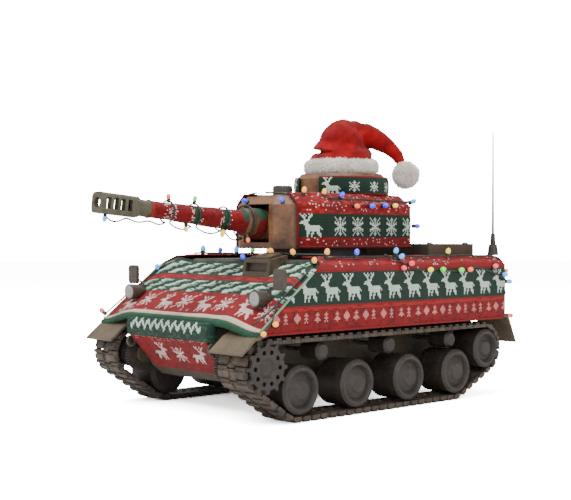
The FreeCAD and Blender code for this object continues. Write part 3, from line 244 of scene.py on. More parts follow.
@dataclass(frozen=True)
class BrushedFelt(Finish):
    """Pressed polyester felt: matted fibres with no weave, a soft nap and a slight sheen at the edges."""

    colour: str
    shade: str
    fibre: float = 0.6

    def make(self) -> bpy.types.Material:
        """Makes short matted fibres in the colour and in the height.

        Returns:
            The material.
        """
        tree, shader, place = self.surface()
        nap = add_node(tree, "ShaderNodeTexNoise", {"Vector": place, "Scale": 1 / (self.fibre * MM),
                                                    "Detail": 6.0, "Roughness": 0.7})
        crush = add_node(tree, "ShaderNodeTexNoise", {"Vector": place, "Scale": 1 / (12 * MM),
                                                      "Detail": 3.0})
        both = add_node(tree, "ShaderNodeMath", {0: nap.outputs["Fac"], 1: crush.outputs["Fac"]},
                        operation="MULTIPLY")
        share = add_node(tree, "ShaderNodeMapRange", {"Value": both.outputs[0], "From Min": 0.12,
                                                      "From Max": 0.38})
        colour = add_node(tree, "ShaderNodeMix", {"Factor": share.outputs[0], 6: linear(self.shade),
                                                  7: linear(self.colour)}, data_type="RGBA")
        height = add_node(tree, "ShaderNodeBump", {"Height": nap.outputs["Fac"], "Strength": 0.5,
                                                   "Distance": 0.35 * MM})
        tree.links.new(colour.outputs[2], shader.inputs["Base Color"])
        tree.links.new(height.outputs[0], shader.inputs["Normal"])
        shader.inputs["Roughness"].default_value = 0.85
        shader.inputs["Specular IOR Level"].default_value = 0.2
        shader.inputs["Sheen Weight"].default_value = 0.08
        shader.inputs["Sheen Roughness"].default_value = 0.4
        return bpy.data.materials[self.name]


@dataclass(frozen=True)
class BareMetal(Finish):
    """Turned or drawn metal with fine tool marks and a little tarnish."""

    colour: str
    tarnish: str
    roughness: float = 0.35

    def make(self) -> bpy.types.Material:
        """Makes a metal with fine marks.

        Returns:
            The material.
        """
        tree, shader, place = self.surface()
        marks = add_node(tree, "ShaderNodeTexNoise", {"Vector": place, "Scale": 1 / (1.2 * MM),
                                                      "Detail": 4.0})
        colour = add_node(tree, "ShaderNodeMix", {"Factor": marks.outputs["Fac"], 6: linear(self.tarnish),
                                                  7: linear(self.colour)}, data_type="RGBA")
        rough = add_node(tree, "ShaderNodeMapRange", {"Value": marks.outputs["Fac"],
                                                      "To Min": self.roughness - 0.12,
                                                      "To Max": self.roughness + 0.15})
        tree.links.new(colour.outputs[2], shader.inputs["Base Color"])
        tree.links.new(rough.outputs[0], shader.inputs["Roughness"])
        shader.inputs["Metallic"].default_value = 1.0
        return bpy.data.materials[self.name]


@dataclass(frozen=True)
class ClearPlastic(Finish):
    """Moulded clear polycarbonate with a faint tint, as in a toy's lamp lens."""

    colour: str
    roughness: float = 0.08
    clearness: float = 0.6

    def make(self) -> bpy.types.Material:
        """Makes a tinted clear plastic with shallow moulded ripples.

        Returns:
            The material.
        """
        tree, shader, place = self.surface()
        ripple = add_node(tree, "ShaderNodeTexNoise", {"Vector": place, "Scale": 1 / (2.5 * MM),
                                                       "Detail": 1.0})
        tint = add_node(tree, "ShaderNodeMix", {"Factor": ripple.outputs["Fac"], 6: linear(self.colour),
                                                7: linear("#FFFFFF")}, data_type="RGBA")
        height = add_node(tree, "ShaderNodeBump", {"Height": ripple.outputs["Fac"], "Strength": 0.15,
                                                   "Distance": 0.3 * MM})
        tree.links.new(tint.outputs[2], shader.inputs["Base Color"])
        tree.links.new(height.outputs[0], shader.inputs["Normal"])
        shader.inputs["Roughness"].default_value = self.roughness
        shader.inputs["IOR"].default_value = 1.58
        shader.inputs["Transmission Weight"].default_value = self.clearness
        return bpy.data.materials[self.name]


@dataclass(frozen=True)
class LitBulb(Finish):
    """A small frosted light-emitting diode: bright in the middle of its cap and coloured at its rim."""

    colour: str
    strength: float = 0.75

    def make(self) -> bpy.types.Material:
        """Makes a glowing cap whose brightness falls off in soft spots.

        Returns:
            The material.
        """
        tree, shader, place = self.surface()
        spots = add_node(tree, "ShaderNodeTexNoise", {"Vector": place, "Scale": 1 / (3 * MM), "Detail": 1.0})
        white = add_node(tree, "ShaderNodeMapRange", {"Value": spots.outputs["Fac"], "From Min": 0.35,
                                                      "From Max": 0.65, "To Min": 0.0, "To Max": 0.12})
        glow = add_node(tree, "ShaderNodeMix", {"Factor": white.outputs[0], 6: linear(self.colour),
                                                7: linear("#FFFFFF")}, data_type="RGBA")
        tree.links.new(glow.outputs[2], shader.inputs["Base Color"])
        tree.links.new(glow.outputs[2], shader.inputs["Emission Color"])
        shader.inputs["Emission Strength"].default_value = self.strength
        shader.inputs["Roughness"].default_value = 0.25
        return bpy.data.materials[self.name]


HULL_PAINT = MouldedPlastic("moulded_abs_hull_olive_brown", "#40372A", "#5C4F3A", 0.5)
DECK_PAINT = MouldedPlastic("moulded_abs_deck_brown", "#43362A", "#61503D", 0.5)
GUARD_PAINT = MouldedPlastic("moulded_abs_guard_olive", "#544938", "#7A6A50", 0.55)
WHEEL_PAINT = MouldedPlastic("moulded_abs_wheel_brown", "#2B2520", "#463B32", 0.52, patch=12)
TRACK_PLASTIC = MouldedPlastic("moulded_nylon_track_brown", "#38302A", "#655747", 0.6, patch=9, contrast=0.8)
TURRET_PAINT = MouldedPlastic("moulded_abs_turret_camouflage", "#80583A", "#3E2A1E", 0.4, patch=20,
                              contrast=1.0)
GUN_PAINT = MouldedPlastic("moulded_abs_gun_olive", "#4E4A3B", "#6D6A50", 0.45, patch=10)
BLACK_PLASTIC = MouldedPlastic("moulded_abs_black", "#1B1B1C", "#2C2B2A", 0.45)
LAMP_PLASTIC = MouldedPlastic("moulded_abs_lamp_grey_brown", "#3E3831", "#5A5044", 0.45, patch=8)
ANTENNA_PLASTIC = MouldedPlastic("glass_fibre_rod_black", "#2A2624", "#3B3532", 0.4)
BOARD = MouldedPlastic("glass_epoxy_board_green", "#1F5132", "#2C6B43", 0.35)
BATTERY_WRAP = MouldedPlastic("shrink_wrapped_battery_blue", "#24467A", "#2F5C99", 0.3)
WOOL = KnittedWool("knitted_acrylic_wool")
RED_FELT = BrushedFelt("pressed_felt_red", "#A3070E", "#5C0408")
WHITE_PLUSH = BrushedFelt("brushed_plush_white", "#F6F3EE", "#D5CEC4", 1.1)
STEEL = BareMetal("drawn_steel", "#B9BBBE", "#77797B")
BRASS = BareMetal("turned_brass", "#C9A24B", "#86692C")
LENS = ClearPlastic("clear_polycarbonate_lens", "#C9C2B8")
WIRE = MouldedPlastic("pvc_covered_wire_dark_green", "#20241D", "#39402F", 0.35, patch=6)


class Hue(Enum):
    """The colours of the bulbs."""

    WARM = "#FFA51A"
    PINK = "#FF1F45"
    BLUE = "#0A2BFF"
    ICE = "#2FA8FF"
    GREEN = "#2BE00C"
    YELLOW = "#FFD400"
    ORANGE = "#FF5E00"

    @property
    def finish(self) -> LitBulb:
        """The lit cap in this colour."""
        return LitBulb("frosted_diode_" + self.name.lower(), self.value)


class Yarn(Enum):
    """The colours of the wool."""

    RED = "#930309"
    DEEP_RED = "#740207"
    CORAL = "#B3221B"
    GREEN = "#0F3324"
    LEAF = "#1B5238"
    MINT = "#DDF0E0"
    PALE = "#8FBF9A"
    ROSE = "#E58C86"
    BLUSH = "#F3D3CB"
    CREAM = "#EBDDC2"

    @property
    def light(self) -> tuple[float, float, float, float]:
        """The colour in linear light."""
        return linear(self.value)


# ---------------------------------------------------------------- meshes and knitting


def mesh_piece(name: str, corners: Sequence[Point], faces: Iterable[Sequence[int]],
               smooth: bool = True) -> bpy.types.Object:
    """Makes a mesh object at the origin.

    Args:
        name: The piece's name.
        corners: Its vertices in millimetres.
        faces: The vertex numbers of each face.
        smooth: Whether its faces are shaded smooth.

    Returns:
        The object, linked to the scene.
    """
    mesh = bpy.data.meshes.new(name)
    mesh.from_pydata([tuple(c * MM for c in corner) for corner in corners], [], [tuple(f) for f in faces])
    mesh.polygons.foreach_set("use_smooth", [smooth] * len(mesh.polygons))
    mesh.update()
    piece = bpy.data.objects.new(name, mesh)
    bpy.context.scene.collection.objects.link(piece)
    return piece


def face_away(piece: bpy.types.Object, inner: Callable[[Vector], Vector] | None = None) -> None:
    """Turns a sheet's faces away from its inside.

    Args:
        piece: The sheet.
        inner: Gives the inside point for a face's centre, in metres. Left out, the faces are those of a
            closed body and are worked out from its shape.
    """
    mesh = piece.data
    if inner is None:
        work = bmesh.new()
        work.from_mesh(mesh)
        bmesh.ops.recalc_face_normals(work, faces=work.faces)
        work.to_mesh(mesh)
        work.free()
        return
    lean = sum(face.area * face.normal.dot(face.center - inner(face.center)) for face in mesh.polygons)
    if lean < 0:
        mesh.flip_normals()


def settle(piece: bpy.types.Object) -> None:
    """Applies a piece's modifiers to its mesh and removes them."""
    graph = bpy.context.evaluated_depsgraph_get()
    made = bpy.data.meshes.new_from_object(piece.evaluated_get(graph))
    made.name = piece.data.name + "_settled"
    piece.modifiers.clear()
    piece.data = made


def tube(name: str, route: Sequence[Point], radius: float, closed: bool = False,
         sides: int = 4) -> bpy.types.Object:
    """Makes a smooth round tube along a route and turns it into a mesh.

    Args:
        name: The piece's name.
        route: Its points in millimetres, which a third-order spline follows.
        radius: The tube's radius in millimetres.
        closed: Whether the route joins its own start.
        sides: The fineness of the round section.

    Returns:
        The mesh object.
    """
    line = bpy.data.curves.new(name, "CURVE")
    line.dimensions = "3D"
    line.resolution_u = 4
    line.bevel_depth = radius * MM
    line.bevel_resolution = sides // 2
    line.use_fill_caps = not closed
    spline = line.splines.new("NURBS")
    spline.points.add(len(route) - 1)
    for point, (x, y, z) in zip(spline.points, route):
        point.co = (x * MM, y * MM, z * MM, 1)
    spline.order_u = 3
    spline.use_endpoint_u = not closed
    spline.use_cyclic_u = closed
    shape = bpy.data.objects.new(name, line)
    bpy.context.scene.collection.objects.link(shape)
    graph = bpy.context.evaluated_depsgraph_get()
    mesh = bpy.data.meshes.new_from_object(shape.evaluated_get(graph))
    bpy.data.objects.remove(shape)
    mesh.polygons.foreach_set("use_smooth", [True] * len(mesh.polygons))
    piece = bpy.data.objects.new(name, mesh)
    bpy.context.scene.collection.objects.link(piece)
    weld(piece)
    return piece


def weld(piece: bpy.types.Object, distance: float = 0.002) -> None:
    """Joins a mesh's doubled vertices and turns its faces outwards.

    Args:
        piece: The mesh object.
        distance: How near two vertices are to be one, in millimetres.
    """
    work = bmesh.new()
    work.from_mesh(piece.data)
    bmesh.ops.remove_doubles(work, verts=work.verts, dist=distance * MM)
    bmesh.ops.recalc_face_normals(work, faces=work.faces)
    work.to_mesh(piece.data)
    work.free()


def joined(name: str, pieces: Sequence[bpy.types.Object]) -> bpy.types.Object:
    """Joins several mesh objects into one, with their materials."""
    target = pieces[0]
    with bpy.context.temp_override(active_object=target, selected_editable_objects=list(pieces)):
        bpy.ops.object.join()
    target.name = name
    target.data.name = name
    return target


REINDEER = (
    "#..#..#.#.......",
    ".##.#..##.......",
    "..##..##........",
    "...#..#.........",
    "...####.........",
    ".#####..........",
    "######..........",
    "...####.........",
    "....##########..",
    "....###########.",
    "....##########.#",
    ".....#########..",
    ".....##..#..##..",
    ".....##.##..###.",
    ".....#..#....##.",
    ".....#..#.....#.",
)
SNOWFLAKE = (
    "#....#....#",
    ".#..###..#.",
    "..#..#..#..",
    "#..#.#.#..#",
    "####.#.####",
    "..#######..",
    "....###....",
    "..#######..",
    "####.#.####",
    "#..#.#.#..#",
    "..#..#..#..",
    ".#..###..#.",
    "#....#....#",
)
STAR = (
    "....#....",
    "#..###..#",
    ".#..#..#.",
    "..#####..",
    "####.####",
    "..#####..",
    ".#..#..#.",
    "#..###..#",
    "....#....",
)
TREE = (
    "..#..",
    ".###.",
    "..#..",
    ".###.",
    "#####",
    "..#..",
)
BAUBLE = (
    "..#..",
    ".###.",
    "#####",
    "#####",
    ".###.",
    "..#..",
)
FIGURE = (
    ".#.",
    "###",
    ".#.",
    "###",
    ".#.",
    "#.#",
)


def stitched(chart: Sequence[str], column: int, row: int) -> bool:
    """Says whether a chart has a pale stitch at a place, counted from its front top corner."""
    return 0 <= row < len(chart) and 0 <= column < len(chart[0]) and chart[row][column] == "#"


def flecked(column: int, row: int, share: float, seed: int = 0) -> bool:
    """Says whether a stitch is one of the scattered pale flecks of a flecked yarn.

    Args:
        column: The stitch's column.
        row: The stitch's row.
        share: The share of stitches that are flecks.
        seed: Which scatter it is.

    Returns:
        True for a fleck.
    """
    chance = noise.cell(Vector((column + 97.0 * seed, row + 31.0 * seed, seed + 0.5)))
    return (chance + 1) / 2 < share


@dataclass
class Knitting:
    """A knitted sheet, made as a grid in which one face is one stitch.

    Attributes:
        name: The piece's name.
        columns: How many stitches it is across.
        rows: How many stitches it is high.
        place: Gives the point in millimetres for a column and a row.
        yarn: Gives the yarn of the stitch at a column and a row.
        inner: Gives the inside point for a face's centre, in metres.
        lumps: How far the wool bulges and sinks over what is under it, in millimetres.
        thickness: The wool's thickness in millimetres.
    """

    name: str
    columns: int
    rows: int
    place: Callable[[int, int], Point]
    yarn: Callable[[int, int], Yarn]
    inner: Callable[[Vector], Vector]
    lumps: float = 0.5
    lump_size: float = 22.0
    thickness: float = 1.0
    closed: bool = False

    def make(self) -> bpy.types.Object:
        """Makes the sheet, colours its stitches and gives it a thickness.

        Returns:
            The piece, dressed in wool.
        """
        across = self.columns if self.closed else self.columns + 1
        corners = [self.place(column, row) for row in range(self.rows + 1) for column in range(across)]
        cells = [(column, row) for row in range(self.rows) for column in range(self.columns)]
        faces = []
        for column, row in cells:
            after = (column + 1) % across
            faces.append((row * across + column, row * across + after,
                          (row + 1) * across + after, (row + 1) * across + column))
        piece = mesh_piece(self.name, corners, faces)
        mesh = piece.data
        colours = mesh.color_attributes.new("stitch_colour", "FLOAT_COLOR", "CORNER")
        tones = {yarn: yarn.light for yarn in Yarn}
        flat = np.array([tones[self.yarn(column, row)] for column, row in cells], dtype=np.float32)
        colours.data.foreach_set("color", np.repeat(flat, 4, axis=0).ravel())
        chart = mesh.uv_layers.new(name="stitches")
        spots = [spot for column, row in cells
                 for spot in ((column, row), (column + 1, row), (column + 1, row + 1), (column, row + 1))]
        chart.data.foreach_set("uv", np.array(spots, dtype=np.float32).ravel())
        self.bulge(mesh)
        self.prune(mesh)
        face_away(piece, self.inner)
        wall = piece.modifiers.new("wool", "SOLIDIFY")
        wall.thickness = self.thickness * MM
        wall.offset = -1
        settle(piece)
        dress(piece, WOOL.made())
        return piece

    def bulge(self, mesh: bpy.types.Mesh) -> None:
        """Moves the vertices along their normals by slow noise, as wool lies over padding."""
        normals = [vertex.normal.copy() for vertex in mesh.vertices]
        turn = 1.0 if sum(normal.dot(vertex.co - self.inner(vertex.co))
                          for normal, vertex in zip(normals, mesh.vertices)) > 0 else -1.0
        for vertex, normal in zip(mesh.vertices, normals):
            swell = noise.noise(vertex.co / (self.lump_size * MM)) + 0.3
            vertex.co += normal * (turn * swell * self.lumps * MM)

    @staticmethod
    def prune(mesh: bpy.types.Mesh) -> None:
        """Joins vertices that fell on each other and removes the faces that have no area."""
        work = bmesh.new()
        work.from_mesh(mesh)
        bmesh.ops.remove_doubles(work, verts=work.verts, dist=0.05 * MM)
        flat = [face for face in work.faces if face.calc_area() < 0.02 * MM * MM]
        bmesh.ops.delete(work, geom=flat, context="FACES")
        loose = [vertex for vertex in work.verts if not vertex.link_faces]
        bmesh.ops.delete(work, geom=loose, context="VERTS")
        work.to_mesh(mesh)
        work.free()


def along(route: Sequence[Point], distance: float) -> Point:
    """Gives the point at a distance along a broken line, or its end past its length."""
    for start, end in zip(route, route[1:]):
        run = math.dist(start, end)
        if distance <= run:
            return tuple(a + (b - a) * distance / run for a, b in zip(start, end))
        distance -= run
    return route[-1]


def length_of(route: Sequence[Point]) -> float:
    """Gives a broken line's length."""
    return sum(math.dist(start, end) for start, end in zip(route, route[1:]))


def blended(low: float, high: float, share: float) -> float:
    """Gives the value between two values, eased at both ends."""
    share = min(max(share, 0.0), 1.0)
    return low + (high - low) * share * share * (3 - 2 * share)


# ---------------------------------------------------------------- the hull's jumper


@dataclass
class HullJumper:
    """The knitted cover of the hull: a skirt round both sides and the stern, a front and a nose band.

    Attributes:
        stitch: The size of one stitch in millimetres.
        half: The cover's half width.
        front: How far forward its front edge lies.
        stern: How far back its stern lies.
        hem: The height of its lower edge.
        side_top: Where the upright side ends.
        deck: The height of the rim that lies on the deck.
        rim: How far in the rim reaches.
    """

    stitch: float = 1.4
    half: float = 107.4
    front: float = 124.5
    stern: float = 191.0
    hem: float = 73.0
    side_top: float = 122.0
    deck: float = 132.2
    deck_half: float = 96.0
    rim: float = 76.0
    corner: float = 9.0
    edge_foot: float = 76.0
    edge_slope: float = 0.775
    front_slope: float = 0.595
    front_foot: float = 84.5

    def edge_front(self, height: float) -> float:
        """Gives how far forward the side reaches at a height."""
        return self.front - max(height - self.edge_foot, 0.0) / self.edge_slope

    def profile(self, row: int) -> tuple[float, float]:
        """Gives how far in from the side and how high a row of the skirt lies."""
        rises = [(0.0, self.hem, 0), (0.0, self.side_top, 0), (2.2, self.side_top + 4.6, 0),
                 (self.half - self.deck_half, self.deck, 0), (self.half - self.rim, self.deck + 0.4, 0)]
        inward, height, _ = along(rises, row * self.stitch)
        return inward, height

    def skirt_rows(self) -> int:
        """Gives the number of rows from the hem to the rim."""
        return round((self.side_top - self.hem + 5.1 + 10.9 + self.deck_half - self.rim) / self.stitch)

    def skirt_point(self, column: int, row: int) -> Point:
        """Gives the place of a stitch of the skirt, which runs from the left front round the stern."""
        inward, height = self.profile(row)
        front = self.edge_front(height)
        half, stern = self.half - inward, self.stern - inward
        turn = max(self.corner - inward, 0.6)
        plain = self.front + self.stern
        nominal = 2 * (plain - self.corner + self.half - self.corner) + self.corner * math.pi
        distance = column / self.skirt_columns() * nominal
        knots = [0.0, plain - self.corner, 0, 0, 0, nominal]
        knots[2] = knots[1] + self.corner * math.pi / 2
        knots[3] = knots[2] + 2 * (self.half - self.corner)
        knots[4] = knots[3] + self.corner * math.pi / 2
        if distance <= knots[1]:
            x = max(-(stern - turn), self.front - distance)
            return (min(x, front), half, height)
        if distance <= knots[2]:
            angle = (distance - knots[1]) / (knots[2] - knots[1]) * math.pi / 2
            return (-(stern - turn) - turn * math.sin(angle), half - turn + turn * math.cos(angle), height)
        if distance <= knots[3]:
            share = (distance - knots[2]) / (knots[3] - knots[2])
            return (-stern, (half - turn) * (1 - 2 * share), height)
        if distance <= knots[4]:
            angle = (distance - knots[3]) / (knots[4] - knots[3]) * math.pi / 2
            return (-(stern - turn) - turn * math.cos(angle), -(half - turn) - turn * math.sin(angle),
                    height)
        x = -(stern - turn) + max(distance - knots[4], 0.0)
        return (min(x, front), -half, height)

    def skirt_columns(self) -> int:
        """Gives the number of stitches round the skirt."""
        return round((2 * (self.front + self.stern + self.half) - 4 * self.corner
                      + self.corner * math.pi) / self.stitch)

    def skirt_yarn(self, column: int, row: int) -> Yarn:
        """Gives the yarn of a stitch of the skirt: figures below, a coral line under the reindeer band that
        is a painted highlight along the seam, the band, and a flecked top.
        """
        height = row * self.stitch + self.hem
        pace = 18
        step = column if column < self.skirt_columns() / 2 else self.skirt_columns() - 1 - column
        if height > 119.5:
            if height > 121 and flecked(column, row, 0.035, 1):
                return Yarn.BLUSH
            return Yarn.CORAL if 126 < height < 130 and flecked(column // 3, row, 0.35, 2) else Yarn.RED
        if height > 93.5:
            top = round((119.5 - self.hem) / self.stitch) - row
            if stitched(REINDEER, (step - 10) % pace, top - 1):
                return Yarn.MINT
            return Yarn.GREEN
        # Painted highlight: a coral line from 88.6 to 91.6 mm stands for the light caught along the seam
        # under the green band.
        if height > 88.6:
            return Yarn.CORAL if height < 91.6 and not flecked(column // 4, row, 0.2, 3) else Yarn.RED
        top = round((87.4 - self.hem) / self.stitch) - row
        number, place = divmod(step, 8)
        chart = (TREE, BAUBLE, FIGURE)[(number * 7 + number // 3) % 3]
        if stitched(chart, place - 1, top):
            return Yarn.ROSE
        return Yarn.DEEP_RED if flecked(column // 2, row // 2, 0.3, 4) else Yarn.RED

    def inside(self, spot: Vector) -> Vector:
        """Gives the point inside the hull that a face looks away from."""
        reach = 0.1
        return Vector((min(max(spot.x, -reach), 0.04), spot.y * 0.5, 0.07))

    def skirt(self) -> bpy.types.Object:
        """Knits the skirt."""
        return Knitting("hull_jumper_skirt", self.skirt_columns(), self.skirt_rows(), self.skirt_point,
                        self.skirt_yarn, self.inside, lumps=0.55).make()

    def front_height(self, x: float, y: float) -> float:
        """Gives the height of the front at a place."""
        side = self.edge_foot + (self.front - x) * self.edge_slope
        middle = self.front_foot + (self.front - x) * self.front_slope
        height = blended(middle, side, (abs(y) - 60) / (self.half - 60))
        drop = (self.deck - self.side_top) * max(abs(y) - self.deck_half, 0) / (self.half - self.deck_half)
        return min(height, self.deck + 0.4 - drop * (1.0 if abs(y) > self.deck_half else 0.0))

    def front_reach(self, y: float) -> float:
        """Gives how far back the front sheet runs at a place across the hull."""
        return blended(52.0, 60.0, (abs(y) - 88) / (self.half - 88))

    def front_columns(self) -> int:
        """Gives the number of stitches across the front."""
        return round(2 * self.half / self.stitch)

    def front_rows(self) -> int:
        """Gives the number of rows from the nose to the deck."""
        return round(math.hypot(self.front - 52, (self.front - 52) * self.front_slope) / self.stitch)

    def front_point(self, column: int, row: int) -> Point:
        """Gives the place of a stitch of the front sheet."""
        y = self.half * (2 * column / self.front_columns() - 1)
        back = self.front_reach(y)
        x = self.front - (self.front - back) * row / self.front_rows()
        return (x, y, self.front_height(x, y))

    def front_yarn(self, column: int, row: int) -> Yarn:
        """Gives the yarn of a stitch of the front: figures below, then drawn-out pale streaks."""
        share = row / self.front_rows()
        if share < 0.03:
            return Yarn.CREAM
        if share < 0.39:
            start = round(0.32 * self.front_rows())
            number, place = divmod(column - 6, 19)
            chart = SNOWFLAKE if number % 2 else REINDEER
            if stitched(chart, place - 1, start - row):
                return Yarn.BLUSH
            if share > 0.32 and flecked(column, row, 0.12, 6):
                return Yarn.CORAL
            return Yarn.ROSE if flecked(column // 2, row // 2, 0.05, 7) else Yarn.RED
        if 0.62 < share < 0.71:
            return Yarn.CORAL if flecked(column // 5, row, 0.3, 8) else Yarn.RED
        base = round((0.39 if share < 0.64 else 0.71) * self.front_rows())
        level = row - base
        slide = (column - round(level * 1.5) + (0 if share < 0.64 else 6)) % 17
        wave = 1.6 * math.sin(column * 0.35 + level * 0.8)
        if 1 <= level <= 13 and 3 + wave < slide < 12 + wave and not flecked(column // 3, row, 0.16, 9):
            return Yarn.MINT if slide < 9 else Yarn.PALE
        return Yarn.LEAF if flecked(column // 2, row // 2, 0.25, 10) else Yarn.GREEN

    def front_sheet(self) -> bpy.types.Object:
        """Knits the front sheet, from the nose up to the deck."""
        return Knitting("hull_jumper_front", self.front_columns(), self.front_rows(), self.front_point,
                        self.front_yarn, self.inside, lumps=0.5).make()

    def nose_band(self) -> bpy.types.Object:
        """Knits the green band across the nose, with a zigzag of pale stitches."""
        half = 58.5
        columns = round(2 * half / self.stitch)
        rises = [(135.2, 64.8, 0.0), (136.4, 70.0, 0.0), (136.0, 77.5, 0.0), (134.4, 80.2, 0.0),
                 (127.0, 81.4, 0.0)]
        rows = round(length_of(rises) / self.stitch)

        def place(column: int, row: int) -> Point:
            """Gives the place of a stitch of the band."""
            y = half * (2 * column / columns - 1)
            x, z, _ = along(rises, row * self.stitch)
            return (x - 8.0 * max(abs(y) / half - 0.95, 0) / 0.05, y, z)

        def yarn(column: int, row: int) -> Yarn:
            """Gives the yarn of a stitch of the band."""
            swing = (column * 3 // 2) % 10
            peak = swing if swing < 5 else 10 - swing
            if 4 <= row <= 11 and abs(row - 5 - peak) < 2 and 5 < column < columns - 8:
                return Yarn.MINT
            return Yarn.LEAF if flecked(column // 2, row, 0.3, 11) else Yarn.GREEN

        return Knitting("nose_jumper_band", columns, rows, place, yarn, self.inside, lumps=0.3).make()

    def nose_panel(self) -> bpy.types.Object:
        """Knits the red panel below the nose, with two reindeer and a snowflake between them."""
        half_top, half_low, rows = 54.0, 46.0, 30
        columns = round(2 * half_top / self.stitch)

        def place(column: int, row: int) -> Point:
            """Gives the place of a stitch of the panel."""
            share = row / rows
            y = (half_low + (half_top - half_low) * share) * (2 * column / columns - 1)
            return (111.5 + 23.2 * share + 0.8, y, 36.5 + 29.5 * share)

        def yarn(column: int, row: int) -> Yarn:
            """Gives the yarn of a stitch of the panel."""
            level = 23 - row
            deer = any(stitched(REINDEER, columns - column - start, level) for start in (8, 48))
            if deer or stitched(SNOWFLAKE, columns - column - 31, level - 3):
                return Yarn.BLUSH
            if row > 25 and flecked(column, row, 0.2, 12):
                return Yarn.ROSE
            return Yarn.DEEP_RED if flecked(column // 2, row // 2, 0.25, 13) else Yarn.RED

        return Knitting("nose_jumper_panel", columns, rows, place, yarn, self.inside, lumps=0.25).make()

    def piping(self) -> bpy.types.Object:
        """Makes the rolled edges: the green hem and cream piping over the nose, and the skirt's red hem."""
        steps = 24
        across = [self.half * (2 * i / steps - 1) for i in range(steps + 1)]
        hem = tube("rolled_hem", [(self.front + 1.6 + 3.0 * (1 - (abs(y) / self.half) ** 3), y,
                                   self.front_height(self.front, y) - 4.0) for y in across], 3.1)
        cream = tube("cream_piping", [(self.front + 0.8 + 2.2 * (1 - (abs(y) / self.half) ** 3), y,
                                       self.front_height(self.front, y) - 0.2) for y in across], 1.5)
        count = self.skirt_columns()
        red = tube("skirt_hem", [self.skirt_point(i * count // 120, 0) for i in range(121)], 1.1)
        slants = []
        for side in (1, -1):
            slants.append(tube("front_seam", [(self.edge_front(z) - 0.2, side * (self.half - 0.4), z)
                                              for z in range(76, 123, 4)], 0.9))
        for piece, yarn in ((hem, Yarn.LEAF), (cream, Yarn.CREAM), (red, Yarn.RED), (slants[0], Yarn.PALE),
                            (slants[1], Yarn.PALE)):
            tint(piece, yarn)
            dress(piece, WOOL.made())
        return joined("hull_jumper_piping", [hem, cream, red, *slants])

    def build(self) -> list[bpy.types.Object]:
        """Knits every part of the hull's jumper and puts it on the hull.

        Returns:
            The pieces.
        """
        made = [self.skirt(), self.front_sheet(), self.nose_band(), self.nose_panel(), self.piping()]
        for piece in made:
            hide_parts("hull_knit_cover")
            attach(piece, "hull")
        return made


def tint(piece: bpy.types.Object, yarn: Yarn, stitch: float = 1.4) -> None:
    """Gives a piece one yarn all over, and stitches on its UV map.

    Args:
        piece: The mesh object.
        yarn: Its yarn.
        stitch: The size of a stitch in millimetres.
    """
    mesh = piece.data
    colours = mesh.color_attributes.new("stitch_colour", "FLOAT_COLOR", "CORNER")
    colours.data.foreach_set("color", list(yarn.light) * len(mesh.loops))
    for layer in list(mesh.uv_layers):
        mesh.uv_layers.remove(layer)
    chart = mesh.uv_layers.new(name="stitches")
    spots = [component / (stitch * MM) for loop in mesh.loops
             for component in (mesh.vertices[loop.vertex_index].co.x + mesh.vertices[loop.vertex_index].co.y,
                               mesh.vertices[loop.vertex_index].co.z)]
    chart.data.foreach_set("uv", spots)


# ---------------------------------------------------------------- the turret's and the gun's jumpers


def rounded(route: Sequence[Point], passes: int = 3, reach: float = 5.0) -> list[Point]:
    """Rounds a broken line's corners by cutting each of them several times.

    Args:
        route: The broken line's points.
        passes: How many times each corner is cut.
        reach: How far from a corner its rounding starts, in millimetres.

    Returns:
        The rounded line's points.
    """
    points = [route[0]]
    for before, corner, after in zip(route, route[1:], route[2:]):
        back = min(0.5, reach / math.dist(before, corner))
        ahead = min(0.5, reach / math.dist(after, corner))
        points.append(tuple(Vector(corner).lerp(Vector(before), back)))
        points.append(corner)
        points.append(tuple(Vector(corner).lerp(Vector(after), ahead)))
    points.append(route[-1])
    for _ in range(passes):
        cut = [points[0]]
        for start, end in zip(points, points[1:]):
            cut.append(tuple(0.75 * a + 0.25 * b for a, b in zip(start, end)))
            cut.append(tuple(0.25 * a + 0.75 * b for a, b in zip(start, end)))
        points = [*cut, points[-1]]
    return points


